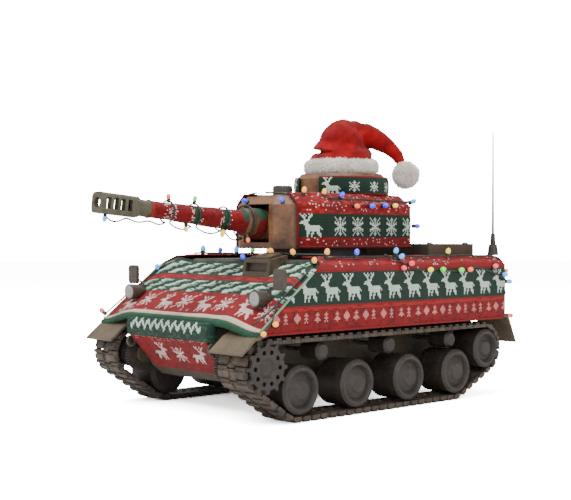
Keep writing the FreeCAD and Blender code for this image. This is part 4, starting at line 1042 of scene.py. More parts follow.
@dataclass
class TurretJumper:
    """The knitted cover of the turret's sides and shoulder, and the band round the cupola.

    Attributes:
        stitch: The size of one stitch in millimetres.
        foot: The height of the lower edge.
        shoulder: Where the upright wall ends.
        roof: The height that the cover folds in at.
        axis: Where the cupola's axis is, along the tank.
        band_radius: The radius of the cupola's band.
    """

    stitch: float = 1.3
    foot: float = 140.0
    shoulder: float = 178.2
    roof: float = 188.2
    axis: float = -72.0
    band_radius: float = 44.4
    band_foot: float = 188.6
    band_top: float = 205.6
    bare: float = 17.0

    def outline(self, inward: float) -> list[Point]:
        """Gives the cover's plan, from the left front round the rear to the right front.

        Args:
            inward: How far in from the wall's outer face it lies, in millimetres.

        Returns:
            Its points.
        """
        left = [(23.3, 41.1 - 1.18 * inward, 0.0), (2.8 - 0.3 * inward, 54.2 - inward, 0.0),
                (-114.8 + 0.6 * inward, 50.2 - inward, 0.0), (-125.2 + inward, 38.6 - 0.4 * inward, 0.0)]
        right = [(x, -y, z) for x, y, z in reversed(left)]
        return rounded([*left, *right])

    def columns(self) -> int:
        """Gives the number of stitches round the cover."""
        return round(length_of(self.outline(0.0)) / self.stitch)

    def profile(self, row: int) -> tuple[float, float]:
        """Gives how far in and how high a row lies."""
        rises = [(0.0, self.foot, 0.0), (0.0, self.shoulder, 0.0), (9.6, self.roof, 0.0),
                 (17.0, self.roof + 0.6, 0.0)]
        inward, height, _ = along(rises, row * self.stitch)
        return inward, height

    def place(self, column: int, row: int) -> Point:
        """Gives the place of a stitch of the cover."""
        inward, height = self.profile(row)
        line = self.outline(inward)
        x, y, _ = along(line, length_of(line) * column / self.columns())
        return (x, y, height)

    def yarn(self, column: int, row: int) -> Yarn:
        """Gives the yarn of a stitch of the cover: a reindeer and snowflakes between flecked red bands."""
        height = self.foot + row * self.stitch
        step = min(column, self.columns() - 1 - column)
        if height < 148.4:
            if flecked(column, row, 0.07, 21):
                return Yarn.BLUSH
            return Yarn.DEEP_RED if flecked(column // 2, row, 0.3, 22) else Yarn.RED
        if height < 169.6:
            level = round((169.6 - self.foot) / self.stitch) - 1 - row
            if stitched(REINDEER, step - 1, level):
                return Yarn.MINT
            if step >= 27 and stitched(SNOWFLAKE, (step - 28) % 18, level - 2):
                return Yarn.MINT
            return Yarn.GREEN
        if height < 172.4:
            return Yarn.CORAL if flecked(column // 3, row, 0.25, 23) else Yarn.RED
        if flecked(column, row, 0.07, 24):
            return Yarn.BLUSH
        return Yarn.CORAL if flecked(column // 3, row // 2, 0.25, 25) else Yarn.RED

    def inside(self, spot: Vector) -> Vector:
        """Gives the point inside the turret that a face looks away from."""
        return Vector((min(max(spot.x, -0.08), 0.0), spot.y * 0.3, 0.15))

    def cover(self) -> bpy.types.Object:
        """Knits the cover of the sides."""
        rows = round((self.shoulder - self.foot + 13.9 + 7.4) / self.stitch)
        return Knitting("turret_jumper", self.columns(), rows, self.place, self.yarn, self.inside,
                        lumps=0.45).make()

    def band(self) -> bpy.types.Object:
        """Knits the band round the cupola, which leaves its front bare."""
        stitch = 1.1
        start = math.radians(self.bare)
        sweep = 2 * math.pi - 2 * start
        columns = round(sweep * self.band_radius / stitch)
        rows = round((self.band_top - self.band_foot) / stitch)

        def place(column: int, row: int) -> Point:
            """Gives the place of a stitch of the band."""
            angle = start + sweep * column / columns
            radius = self.band_radius + 0.9 * math.sin(math.pi * row / rows)
            return (self.axis + radius * math.cos(angle), radius * math.sin(angle),
                    self.band_foot + (self.band_top - self.band_foot) * row / rows)

        def yarn(column: int, row: int) -> Yarn:
            """Gives the yarn of a stitch of the band."""
            step = min(column, columns - 1 - column)
            if row < 1 or row >= rows - 1:
                return Yarn.RED
            if stitched(REINDEER, step - 3, rows - 1 - row):
                return Yarn.MINT
            if step >= 24 and stitched(STAR, (step - 26) % 19, rows - 5 - row):
                return Yarn.MINT
            return Yarn.GREEN

        def inside(spot: Vector) -> Vector:
            """Gives the cupola's axis at a height."""
            return Vector((self.axis * MM, 0.0, spot.z))

        return Knitting("cupola_jumper", columns, rows, place, yarn, inside, lumps=0.25,
                        thickness=0.8).make()

    def edging(self) -> bpy.types.Object:
        """Makes the rolled edges of the cover: its foot hem and its two seams."""
        low = self.outline(0.0)
        foot = tube("turret_hem", [(x, y, self.foot + 0.4) for x, y, _ in low[::2]], 1.2)
        seams = []
        for side in (1, -1):
            column = 0 if side == 1 else self.columns()
            seams.append(tube("turret_seam", [self.place(column, row) for row in range(0, 44, 4)], 1.3))
        for piece in (foot, *seams):
            tint(piece, Yarn.DEEP_RED)
            dress(piece, WOOL.made())
        return joined("turret_jumper_edging", [foot, *seams])

    def build(self) -> list[bpy.types.Object]:
        """Knits the turret's pieces and puts them on the turret.

        Returns:
            The pieces.
        """
        cover, band, edging = self.cover(), self.band(), self.edging()
        for piece in (cover, edging):
            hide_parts("turret_knit_cover")
        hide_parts("cupola_knit_cover")
        for piece in (cover, band, edging):
            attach(piece, "turret")
        self.columns() * self.stitch * MM
        return [cover, band, edging]


@dataclass
class GunAxis:
    """The gun's own line, from the trunnion to the muzzle."""

    trunnion: Point = (20.0, 0.0, 160.0)
    rise: float = 5.2

    def at(self, distance: float, radius: float = 0.0, angle: float = 0.0) -> Point:
        """Gives a point by its distance from the trunnion, and its radius and angle about the line.

        Args:
            distance: Millimetres along the line.
            radius: Millimetres from the line.
            angle: Degrees round the line, from the tank's left upwards.

        Returns:
            The point in millimetres.
        """
        slope, turn = math.radians(self.rise), math.radians(angle)
        left, up = radius * math.cos(turn), radius * math.sin(turn)
        x, y, z = self.trunnion
        return (x + distance * math.cos(slope) - up * math.sin(slope), y + left,
                z + distance * math.sin(slope) + up * math.cos(slope))


@dataclass
class GunJumper:
    """The knitted sleeve of the barrel and the soft boot at its root.

    Attributes:
        axis: The gun's line.
        start: Where the sleeve starts, in millimetres from the trunnion.
        end: Where it ends.
        rings: Where its flecked rings are.
    """

    axis: GunAxis = field(default_factory=GunAxis)
    start: float = 36.0
    end: float = 134.5
    rings: tuple[float, ...] = (30.5, 55.5, 87.5, 115.0)

    def radius(self, distance: float) -> float:
        """Gives the sleeve's radius, which puffs out between the turns of wire."""
        share = (distance - self.start) / (self.end - self.start)
        nip = min(abs(distance - ring) for ring in self.rings)
        puff = 0.5 * min(nip / 9, 1)
        end = 0.9 * math.exp(-((distance - self.end) / 2.0) ** 2)
        return 9.3 - 2.6 * share + puff - 0.3 + end

    def sleeve(self) -> bpy.types.Object:
        """Knits the sleeve."""
        columns, rows = 40, 76

        def place(column: int, row: int) -> Point:
            """Gives the place of a stitch of the sleeve."""
            distance = self.start + (self.end - self.start) * row / rows
            return self.axis.at(distance, self.radius(distance), 360 * column / columns)

        def yarn(column: int, row: int) -> Yarn:
            """Gives the yarn of a stitch of the sleeve."""
            distance = self.start + (self.end - self.start) * row / rows
            near = min((abs(distance - ring), index) for index, ring in enumerate(self.rings))
            if near[0] < 2.6 and near[1] != 3:
                return Yarn.LEAF
            if near[0] < 6.5 and flecked(column, row, 0.3, 31):
                return Yarn.BLUSH
            if distance > self.end - 3:
                return Yarn.CORAL
            return Yarn.DEEP_RED if flecked(column // 2, row // 2, 0.25, 32) else Yarn.RED

        return Knitting("barrel_sleeve", columns, rows, place, yarn, self.inside, lumps=0.35, lump_size=10,
                        thickness=0.7, closed=True).make()

    def boot(self) -> bpy.types.Object:
        """Knits the boot, green above and dark red below."""
        columns, rows = 56, 20
        rises = [(14.0, 13.6, 0.0), (20.0, 13.3, 0.0), (27.0, 12.2, 0.0), (34.0, 10.9, 0.0),
                 (38.5, 9.0, 0.0)]

        def place(column: int, row: int) -> Point:
            """Gives the place of a stitch of the boot."""
            distance, radius, _ = along(rises, length_of(rises) * row / rows)
            return self.axis.at(distance, radius, 360 * column / columns)

        def yarn(column: int, row: int) -> Yarn:
            """Gives the yarn of a stitch of the boot."""
            high = math.sin(2 * math.pi * column / columns)
            edge = 0.1 + 0.16 * math.sin(row * 0.6)
            return Yarn.LEAF if high > edge else Yarn.DEEP_RED

        return Knitting("gun_boot", columns, rows, place, yarn, self.inside, lumps=0.4, lump_size=9,
                        thickness=0.7, closed=True).make()

    def inside(self, spot: Vector) -> Vector:
        """Gives the point on the gun's line beside a face."""
        slope = math.tan(math.radians(self.axis.rise))
        x, _, z = self.axis.trunnion
        return Vector((spot.x, 0.0, z * MM + (spot.x - x * MM) * slope))

    def build(self) -> list[bpy.types.Object]:
        """Knits the sleeve and the boot and puts them on the gun.

        Returns:
            The pieces.
        """
        made = [self.sleeve(), self.boot()]
        for piece in made:
            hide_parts("barrel_knit_sleeve")
            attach(piece, "gun")
        return made


# ---------------------------------------------------------------- tracks


def geometry_tree(name: str, inputs: Sequence[tuple[str, str, object]]) -> tuple[
        bpy.types.NodeTree, bpy.types.Node, dict[str, str]]:
    """Starts a Geometry Nodes tree.

    Args:
        name: The tree's name.
        inputs: For each input its name, its socket type and its value.

    Returns:
        The tree, its input node and each input's identifier by name.
    """
    tree = bpy.data.node_groups.new(name, "GeometryNodeTree")
    tree.interface.new_socket("Geometry", in_out="INPUT", socket_type="NodeSocketGeometry")
    tree.interface.new_socket("Geometry", in_out="OUTPUT", socket_type="NodeSocketGeometry")
    keys = {}
    for label, kind, value in inputs:
        socket = tree.interface.new_socket(label, in_out="INPUT", socket_type=kind)
        keys[label] = socket.identifier
        if value is not None:
            socket.default_value = value
    return tree, tree.nodes.new("NodeGroupInput"), keys


def grow(piece: bpy.types.Object, tree: bpy.types.NodeTree, values: dict[str, object]) -> bpy.types.Object:
    """Runs a Geometry Nodes tree on a piece and keeps the result as a plain mesh.

    Args:
        piece: The object whose mesh the tree starts from.
        tree: The tree.
        values: Each input's value by its identifier.

    Returns:
        The same object with its new mesh.
    """
    nodes = piece.modifiers.new(tree.name, "NODES")
    nodes.node_group = tree
    for key, value in values.items():
        nodes[key] = value
    settle(piece)
    return piece


@dataclass
class Track:
    """One track: hinged nylon links that run round the sprocket, the idler and the road wheels.

    Attributes:
        side: The tank's side.
        sign: One on the left and minus one on the right.
        inner: Where the links start across the tank.
        outer: Where they end.
        depth: The links' thickness.
    """

    side: str
    sign: int
    links: int = 69
    inner: float = 71.0
    outer: float = 103.5
    depth: float = 6.3
    wheels: tuple[tuple[float, float, float], ...] = (
        (116.6, 47.0, 19.319), (-159.8, 44.87, 21.45), (-116.6, 26.6, 23.45), (78.4, 26.6, 23.45))

    def belt(self) -> list[tuple[float, float, float, float]]:
        """Works out the belt's stretches round its wheels.

        Returns:
            For each wheel its place and the angles at which the belt meets and leaves it.
        """
        count = len(self.wheels)
        leave = []
        for index, (x, z, radius) in enumerate(self.wheels):
            ahead_x, ahead_z, ahead_radius = self.wheels[(index + 1) % count]
            heading = math.atan2(ahead_z - z, ahead_x - x)
            lean = math.asin((radius - ahead_radius) / math.hypot(ahead_x - x, ahead_z - z))
            leave.append(heading - math.pi / 2 + lean)
        arcs = []
        for index in range(count):
            meet = leave[index - 1]
            away = leave[index]
            while away < meet:
                away += 2 * math.pi
            arcs.append((*self.wheels[index][:2], meet, away))
        return arcs

    def spots(self) -> list[tuple[Point, float]]:
        """Gives each link's middle, in millimetres, and its turn about the axle, in radians."""
        stretches = []
        arcs = self.belt()
        for index, (x, z, meet, away) in enumerate(arcs):
            radius = self.wheels[index][2]
            stretches.append((radius * (away - meet), x, z, radius, meet, None))
            ahead = arcs[(index + 1) % len(arcs)]
            start = (x + radius * math.cos(away), z + radius * math.sin(away))
            reach = self.wheels[(index + 1) % len(arcs)][2]
            end = (ahead[0] + reach * math.cos(away), ahead[1] + reach * math.sin(away))
            stretches.append((math.dist(start, end), *start, away, 0.0, end))
        whole = sum(stretch[0] for stretch in stretches)
        found = []
        for number in range(self.links):
            distance = (number + 0.5) * whole / self.links
            for length, x, z, radius, meet, end in stretches:
                if distance > length:
                    distance -= length
                    continue
                if end is None:
                    angle = meet + distance / radius
                    found.append(((x + radius * math.cos(angle), 0.0, z + radius * math.sin(angle)), angle))
                else:
                    share = distance / length
                    found.append(((x + (end[0] - x) * share, 0.0, z + (end[1] - z) * share), radius))
                break
        return found

    def link(self) -> bpy.types.Object:
        """Makes one link: two ribbed pads joined by a web, pin barrels at its ends and a guide horn."""
        work = bmesh.new()
        width = self.outer - self.inner
        half = self.depth / 2
        blocks = [
            ((0.0, 0.0, -0.2), (7.4, width - 1.0, 3.6)),
            ((0.0, width * 0.27, half - 1.3), (5.4, width * 0.40, 2.5)),
            ((0.0, -width * 0.27, half - 1.3), (5.4, width * 0.40, 2.5)),
            ((0.0, 0.0, half - 1.8), (3.0, width * 0.9, 1.6)),
            ((0.0, 0.0, -half + 0.9), (3.0, 3.0, 1.8)),
        ]
        for centre, size in blocks:
            placed = Matrix.Translation(Vector(centre)) @ Matrix.Diagonal((*size, 1.0))
            made = bmesh.ops.create_cube(work, size=1.0, matrix=placed)
            edges = {edge for vertex in made["verts"] for edge in vertex.link_edges}
            bmesh.ops.bevel(work, geom=list(edges), offset=0.55, segments=2, affect="EDGES", profile=0.6)
        turn = Matrix.Rotation(math.pi / 2, 4, "X")
        for end, reach in ((-1, width * 0.34), (1, width * 0.24)):
            for place in (-1, 1) if end == -1 else (0,):
                centre = Vector((end * 4.1, place * width * 0.33, -0.2))
                bmesh.ops.create_cone(work, cap_ends=True, segments=10, radius1=1.7, radius2=1.7,
                                      depth=reach, matrix=Matrix.Translation(centre) @ turn)
        bmesh.ops.scale(work, vec=(MM, MM, MM), verts=work.verts)
        mesh = bpy.data.meshes.new("track_link_" + self.side)
        work.to_mesh(mesh)
        work.free()
        mesh.polygons.foreach_set("use_smooth", [False] * len(mesh.polygons))
        return bpy.data.objects.new(mesh.name, mesh)

    def build(self) -> list[bpy.types.Object]:
        """Lays the links round the belt and puts the track on the hull.

        Returns:
            The track.
        """
        middle = self.sign * (self.inner + self.outer) / 2
        spots = self.spots()
        piece = mesh_piece("track_links_" + self.side, [(x, middle, z) for (x, _, z), _ in spots], [])
        turns = piece.data.attributes.new("turn", "FLOAT", "POINT")
        turns.data.foreach_set("value", [math.pi / 2 - angle for _, angle in spots])
        tree, start, keys = geometry_tree("lay_links_" + self.side, [
            ("Link", "NodeSocketObject", None), ("Size", "NodeSocketFloat", 1.0)])
        link = add_node(tree, "GeometryNodeObjectInfo", {"Object": start.outputs["Link"]})
        turn = add_node(tree, "GeometryNodeInputNamedAttribute", {"Name": "turn"}, data_type="FLOAT")
        axes = add_node(tree, "ShaderNodeCombineXYZ", {"Y": turn.outputs["Attribute"]})
        laid = add_node(tree, "GeometryNodeInstanceOnPoints", {
            "Points": start.outputs["Geometry"], "Instance": link.outputs["Geometry"],
            "Rotation": axes.outputs[0], "Scale": start.outputs["Size"]})
        real = add_node(tree, "GeometryNodeRealizeInstances", {"Geometry": laid.outputs[0]})
        dressed = add_node(tree, "GeometryNodeSetMaterial", {"Geometry": real.outputs[0],
                                                             "Material": TRACK_PLASTIC.made()})
        add_node(tree, "NodeGroupOutput", {"Geometry": dressed.outputs[0]})
        grow(piece, tree, {keys["Link"]: self.link(), keys["Size"]: 1.0})
        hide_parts("track_" + self.side)
        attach(piece, "hull")
        return [piece]


# ---------------------------------------------------------------- hat


def tufts(piece: bpy.types.Object, density: float, length: float, width: float,
          material: bpy.types.Material, seed: int) -> None:
    """Grows short tilted tufts of pile all over a piece, and keeps the piece under them.

    Args:
        piece: The mesh object that the pile grows on.
        density: Tufts on each square metre.
        length: A tuft's length in millimetres.
        width: A tuft's width at its root in millimetres.
        material: The pile's material.
        seed: The scatter's seed.
    """
    tree, start, keys = geometry_tree("pile_" + piece.name, [
        ("Density", "NodeSocketFloat", density), ("Length", "NodeSocketFloat", length * MM),
        ("Width", "NodeSocketFloat", width * MM), ("Seed", "NodeSocketInt", seed)])
    surface = start.outputs["Geometry"]
    spread = add_node(tree, "GeometryNodeDistributePointsOnFaces", {
        "Mesh": surface, "Density": start.outputs["Density"], "Seed": start.outputs["Seed"]})
    tuft = add_node(tree, "GeometryNodeMeshCone", {
        "Vertices": 4, "Radius Top": 0.0, "Radius Bottom": start.outputs["Width"],
        "Depth": start.outputs["Length"]}, fill_type="NONE")
    lean = add_node(tree, "FunctionNodeRandomValue", {
        0: (-0.55, -0.55, 0.0), 1: (0.55, 0.55, 6.28), "Seed": start.outputs["Seed"]},
        data_type="FLOAT_VECTOR")
    tall = add_node(tree, "FunctionNodeRandomValue", {2: 0.6, 3: 1.15, "Seed": start.outputs["Seed"]},
                    data_type="FLOAT")
    laid = add_node(tree, "GeometryNodeInstanceOnPoints", {
        "Points": spread.outputs["Points"], "Instance": tuft.outputs["Mesh"],
        "Rotation": spread.outputs["Rotation"], "Scale": tall.outputs[1]})
    tilted = add_node(tree, "GeometryNodeRotateInstances", {"Instances": laid.outputs[0],
                                                            "Rotation": lean.outputs[0]})
    real = add_node(tree, "GeometryNodeRealizeInstances", {"Geometry": tilted.outputs[0]})
    both = add_node(tree, "GeometryNodeJoinGeometry", {})
    tree.links.new(real.outputs[0], both.inputs[0])
    tree.links.new(surface, both.inputs[0])
    dressed = add_node(tree, "GeometryNodeSetMaterial", {"Geometry": both.outputs[0], "Material": material})
    add_node(tree, "NodeGroupOutput", {"Geometry": dressed.outputs[0]})
    grow(piece, tree, {keys["Density"]: density, keys["Length"]: length * MM, keys["Width"]: width * MM,
                       keys["Seed"]: seed})


@dataclass
class FeltHat:
    """The felt hat: a soft bag that falls back to the left, a plush brim and a plush pompom.

    Attributes:
        middle: The place of the hat's axis along the tank.
        floor: The height that the brim stands on.
        brim: The brim's outer radius.
        bag: For each ring of the bag its middle, measured from the foot of the axis, and its radius.
    """

    middle: float = -72.0
    floor: float = 209.2
    brim: float = 35.0
    bag: tuple[tuple[float, float, float, float], ...] = (
        (0, 0, 9, 31.0), (0, 0, 15, 31.0), (1, 0, 22, 27.5), (1, 1, 30, 21.5), (-2, 3, 37, 15.5),
        (-10, 6, 39.5, 12.5), (-21, 11, 38.5, 11.0), (-31, 17, 34.0, 9.6), (-39, 24, 27.5, 8.0),
        (-45, 30, 19.5, 6.2), (-48, 34, 11.0, 4.2))
    pompom: Point = (-50.0, 37.5, 0.0)
    pompom_radius: float = 12.6

    def cone(self) -> bpy.types.Object:
        """Makes the bag from overlapping round stretches, melts them together and adds its folds."""
        work = bmesh.new()
        for (ax, ay, az, low), (bx, by, bz, high) in zip(self.bag, self.bag[1:]):
            start, end = Vector((ax, ay, az)), Vector((bx, by, bz))
            run = end - start
            turn = run.to_track_quat("Z", "Y").to_matrix().to_4x4()
            place = Matrix.Translation((start + end) / 2 + Vector((self.middle, 0, self.floor)))
            bmesh.ops.create_cone(work, cap_ends=True, segments=48, radius1=low, radius2=high,
                                  depth=run.length, matrix=place @ turn)
            if az > 22:
                tip = Matrix.Translation(start + Vector((self.middle, 0, self.floor)))
                bmesh.ops.create_icosphere(work, subdivisions=3, radius=low, matrix=tip)
        bmesh.ops.scale(work, vec=(MM, MM, MM), verts=work.verts)
        mesh = bpy.data.meshes.new("hat_bag")
        work.to_mesh(mesh)
        work.free()
        piece = bpy.data.objects.new("hat_bag", mesh)
        bpy.context.scene.collection.objects.link(piece)
        melt = piece.modifiers.new("melt", "REMESH")
        melt.mode = "VOXEL"
        melt.voxel_size = 1.1 * MM
        calm = piece.modifiers.new("calm", "CORRECTIVE_SMOOTH")
        calm.iterations = 14
        calm.use_only_smooth = True
        calm.smooth_type = "LENGTH_WEIGHTED"
        settle(piece)
        self.fold(piece.data)
        piece.data.polygons.foreach_set("use_smooth", [True] * len(piece.data.polygons))
        dress(piece, RED_FELT.made())
        return piece

    def fold(self, mesh: bpy.types.Mesh) -> None:
        """Presses folds into the bag: deep ones where it turns over, and soft dents elsewhere."""
        bend = Vector((self.middle - 6, 2, self.floor + 34)) * MM
        normals = [vertex.normal.copy() for vertex in mesh.vertices]
        for vertex, normal in zip(mesh.vertices, normals):
            spot = vertex.co / MM - Vector((self.middle, 0, self.floor))
            near = math.exp(-((vertex.co - bend).length / (22 * MM)) ** 2)
            wave = math.sin(spot.x * 0.42 + spot.z * 0.5 + 2.2 * noise.noise(vertex.co / (18 * MM)))
            soft = noise.noise(vertex.co / (15 * MM) + Vector((3.1, 0.0, 7.7)))
            rise = min(max((spot.z - 12) / 8, 0.0), 1.0)
            vertex.co += normal * MM * rise * (1.1 * near * wave + 1.3 * soft)

    def fur_brim(self) -> bpy.types.Object:
        """Makes the plush brim, a fat uneven ring with pile."""
        turns, sides, height = 72, 20, 13.0
        corners = []
        for turn in range(turns):
            angle = 2 * math.pi * turn / turns
            swell = 1 + 0.06 * noise.noise(Vector((3 * math.cos(angle), 3 * math.sin(angle), 0.0)))
            for side in range(sides):
                around = 2 * math.pi * side / sides
                across = 5.6 * swell * math.copysign(abs(math.cos(around)) ** 0.8, math.cos(around))
                up = height / 2 * 0.93 * math.copysign(abs(math.sin(around)) ** 0.8, math.sin(around))
                radius = self.brim - 6.4 + across
                corners.append((self.middle + radius * math.cos(angle), radius * math.sin(angle),
                                self.floor + height / 2 + up + 0.3 * math.sin(3 * angle)))
        faces = []
        for turn in range(turns):
            for side in range(sides):
                here, ahead = turn * sides, (turn + 1) % turns * sides
                after = (side + 1) % sides
                faces.append((here + side, ahead + side, ahead + after, here + after))
        piece = mesh_piece("hat_fur_brim", corners, faces)
        face_away(piece)
        tufts(piece, 9.0e5, 2.6, 0.75, WHITE_PLUSH.made(), 4)
        return piece

    def ball(self) -> bpy.types.Object:
        """Makes the plush pompom."""
        work = bmesh.new()
        bmesh.ops.create_icosphere(work, subdivisions=4, radius=self.pompom_radius * MM - 1.2 * MM)
        place = Vector((self.middle + self.pompom[0], self.pompom[1], self.floor + self.pompom[2])) * MM
        for vertex in work.verts:
            vertex.co *= 1 + 0.05 * noise.noise(vertex.co / (7 * MM))
            vertex.co += place
        mesh = bpy.data.meshes.new("hat_pompom_plush")
        work.to_mesh(mesh)
        work.free()
        mesh.polygons.foreach_set("use_smooth", [True] * len(mesh.polygons))
        piece = bpy.data.objects.new("hat_pompom_plush", mesh)
        bpy.context.scene.collection.objects.link(piece)
        tufts(piece, 1.7e6, 2.8, 0.7, WHITE_PLUSH.made(), 9)
        return piece

    def build(self) -> list[bpy.types.Object]:
        """Makes the hat and puts it on its own body.

        Returns:
            The pieces.
        """
        bag, brim, ball = self.cone(), self.fur_brim(), self.ball()
        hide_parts("hat_cone")
        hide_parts("hat_brim")
        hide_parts("hat_pompom")
        for piece in (bag, brim, ball):
            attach(piece, "hat")
        return [bag, brim, ball]


# ---------------------------------------------------------------- light strings


@dataclass(frozen=True)
class Bulb:
    """One bulb: the middle of its foot in millimetres, its colour and the way that it points."""

    place: Point
    hue: Hue
    way: Point = (0.0, 0.3, 1.0)


@dataclass
class LightString:
    """A string of small bulbs on thin covered wire.

    Attributes:
        name: The piece's name.
        node: The CAD node that it stands for.
        body: What it rides on.
        routes: The wires' routes in millimetres.
        bulbs: The bulbs.
        wire: The wire's radius in millimetres.
        cap: A cap's radius in millimetres.
    """

    name: str
    node: str
    body: str
    routes: Sequence[Sequence[Point]]
    bulbs: Sequence[Bulb]
    wire: float = 0.8
    cap: float = 2.3

    def lamps(self) -> bpy.types.Object:
        """Puts a socket and a lit cap at each bulb's place.

        Returns:
            The bulbs as one mesh with a material for each colour.
        """
        piece = mesh_piece(self.name + "_bulbs", [bulb.place for bulb in self.bulbs], [])
        hues = list(Hue)
        which = piece.data.attributes.new("hue", "INT", "POINT")
        which.data.foreach_set("value", [hues.index(bulb.hue) for bulb in self.bulbs])
        ways = piece.data.attributes.new("way", "FLOAT_VECTOR", "POINT")
        ways.data.foreach_set("vector", [c for bulb in self.bulbs for c in bulb.way])
        tree, start, keys = geometry_tree("bulbs_" + self.name, [
            ("Cap radius", "NodeSocketFloat", self.cap * MM),
            ("Socket length", "NodeSocketFloat", 3.4 * MM)])
        way = add_node(tree, "GeometryNodeInputNamedAttribute", {"Name": "way"}, data_type="FLOAT_VECTOR")
        aim = add_node(tree, "FunctionNodeAlignEulerToVector", {"Vector": way.outputs[0]}, axis="Z")
        cap = add_node(tree, "GeometryNodeMeshUVSphere", {"Segments": 14, "Rings": 10,
                                                          "Radius": start.outputs["Cap radius"]})
        smooth = add_node(tree, "GeometryNodeSetShadeSmooth", {"Geometry": cap.outputs["Mesh"]})
        long = add_node(tree, "GeometryNodeTransform", {
            "Geometry": smooth.outputs[0], "Translation": (0.0, 0.0, 4.6 * MM), "Scale": (1.0, 1.0, 1.35)})
        wide = add_node(tree, "ShaderNodeMath", {0: start.outputs["Cap radius"], 1: 0.8},
                        operation="MULTIPLY")
        socket = add_node(tree, "GeometryNodeMeshCylinder", {
            "Vertices": 10, "Radius": wide.outputs[0], "Depth": start.outputs["Socket length"]})
        foot = add_node(tree, "GeometryNodeTransform", {"Geometry": socket.outputs["Mesh"],
                                                        "Translation": (0.0, 0.0, 1.2 * MM)})
        sockets = add_node(tree, "GeometryNodeInstanceOnPoints", {
            "Points": start.outputs["Geometry"], "Instance": foot.outputs[0], "Rotation": aim.outputs[0]})
        caps = add_node(tree, "GeometryNodeInstanceOnPoints", {
            "Points": start.outputs["Geometry"], "Instance": long.outputs[0], "Rotation": aim.outputs[0]})
        dark = add_node(tree, "GeometryNodeRealizeInstances", {"Geometry": sockets.outputs[0]})
        shell = add_node(tree, "GeometryNodeSetMaterial", {"Geometry": dark.outputs[0],
                                                           "Material": WIRE.made()})
        lit = add_node(tree, "GeometryNodeRealizeInstances", {"Geometry": caps.outputs[0]}).outputs[0]
        hue = add_node(tree, "GeometryNodeInputNamedAttribute", {"Name": "hue"}, data_type="INT")
        for index, colour in enumerate(hues):
            same = add_node(tree, "FunctionNodeCompare", {"A": hue.outputs[0], "B": index},
                            data_type="INT", operation="EQUAL")
            lit = add_node(tree, "GeometryNodeSetMaterial", {
                "Geometry": lit, "Selection": same.outputs[0], "Material": colour.finish.made()}).outputs[0]
        both = add_node(tree, "GeometryNodeJoinGeometry", {})
        tree.links.new(lit, both.inputs[0])
        tree.links.new(shell.outputs[0], both.inputs[0])
        add_node(tree, "NodeGroupOutput", {"Geometry": both.outputs[0]})
        grow(piece, tree, {keys["Cap radius"]: self.cap * MM, keys["Socket length"]: 3.4 * MM})
        return piece

    def build(self) -> list[bpy.types.Object]:
        """Makes the wires and the bulbs and puts them on their body.

        Returns:
            The pieces.
        """
        wires = [tube(f"{self.name}_wire_{index}", route, self.wire)
                 for index, route in enumerate(self.routes)]
        for wire in wires:
            dress(wire, WIRE.made())
        line = joined(self.name + "_wire", wires)
        made = [line, self.lamps()]
        for piece in made:
            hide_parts(self.node)
            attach(piece, self.body)
        return made


def across(route: Sequence[Point]) -> list[Point]:
    """Gives a left-hand route's twin on the tank's right."""
    return [(x, -y, z) for x, y, z in route]


SHOULDER_ROUTE: list[Point] = [
    (128, 101, 80.5), (117, 103, 87), (103, 103.5, 97), (88, 102, 107.2), (72, 101, 118.4),
    (56, 100, 128), (38, 98.5, 132.8), (18, 100, 132.1), (-3, 98.5, 132.7),
    (-24, 100, 132), (-46, 98.5, 132.8), (-68, 100, 131.9), (-90, 98.5, 132.7),
    (-112, 100, 132), (-132, 98.5, 132.7), (-152, 100, 131.7), (-168, 102, 132),
    (-182, 103.4, 129.8), (-191.5, 102, 122), (-194.6, 99, 112), (-194, 98, 102), (-194.8, 96, 92)]
CROSS_ROUTE: list[Point] = [
    (34, 92, 134.2), (42, 76, 134.4), (48, 58, 134.6), (43.5, 40, 135.4), (47, 22, 134.4),
    (43, 4, 134.8), (47, -14, 134.4), (43.5, -32, 134.8), (47, -50, 134.4), (43, -68, 134.8),
    (35, -90, 134.2)]
ROOF_ROUTE: list[Point] = [
    (30, 6, 189), (27, 20, 188.5), (19, 33, 186.5), (6, 44, 184.5), (-10, 51, 183.6),
    (-27, 54.5, 182.4), (-45, 53.6, 183.4), (-62, 55, 182), (-79, 53.4, 183.2),
    (-96, 53.5, 182), (-112, 50.5, 183), (-125, 42, 184), (-131, 28, 182), (-130, 12, 184)]
DROP_ROUTE: list[Point] = [
    (-24, 100, 134), (-32, 103, 131), (-40, 106, 127), (-52, 107.6, 122), (-66, 108, 119.5),
    (-80, 108, 121), (-95, 108, 119.5), (-110, 108, 118.5), (-124, 108, 119.5), (-138, 107.4, 122.5),
    (-150, 108, 120), (-163, 108.2, 117), (-176, 108.4, 113), (-188, 107, 109), (-193.5, 102, 106)]
NOSE_ROUTE: list[Point] = [
    (103, 103.5, 97), (109, 106, 91), (113, 108, 84), (118, 109, 79), (124, 108.4, 75.5), (129, 104, 74.5)]

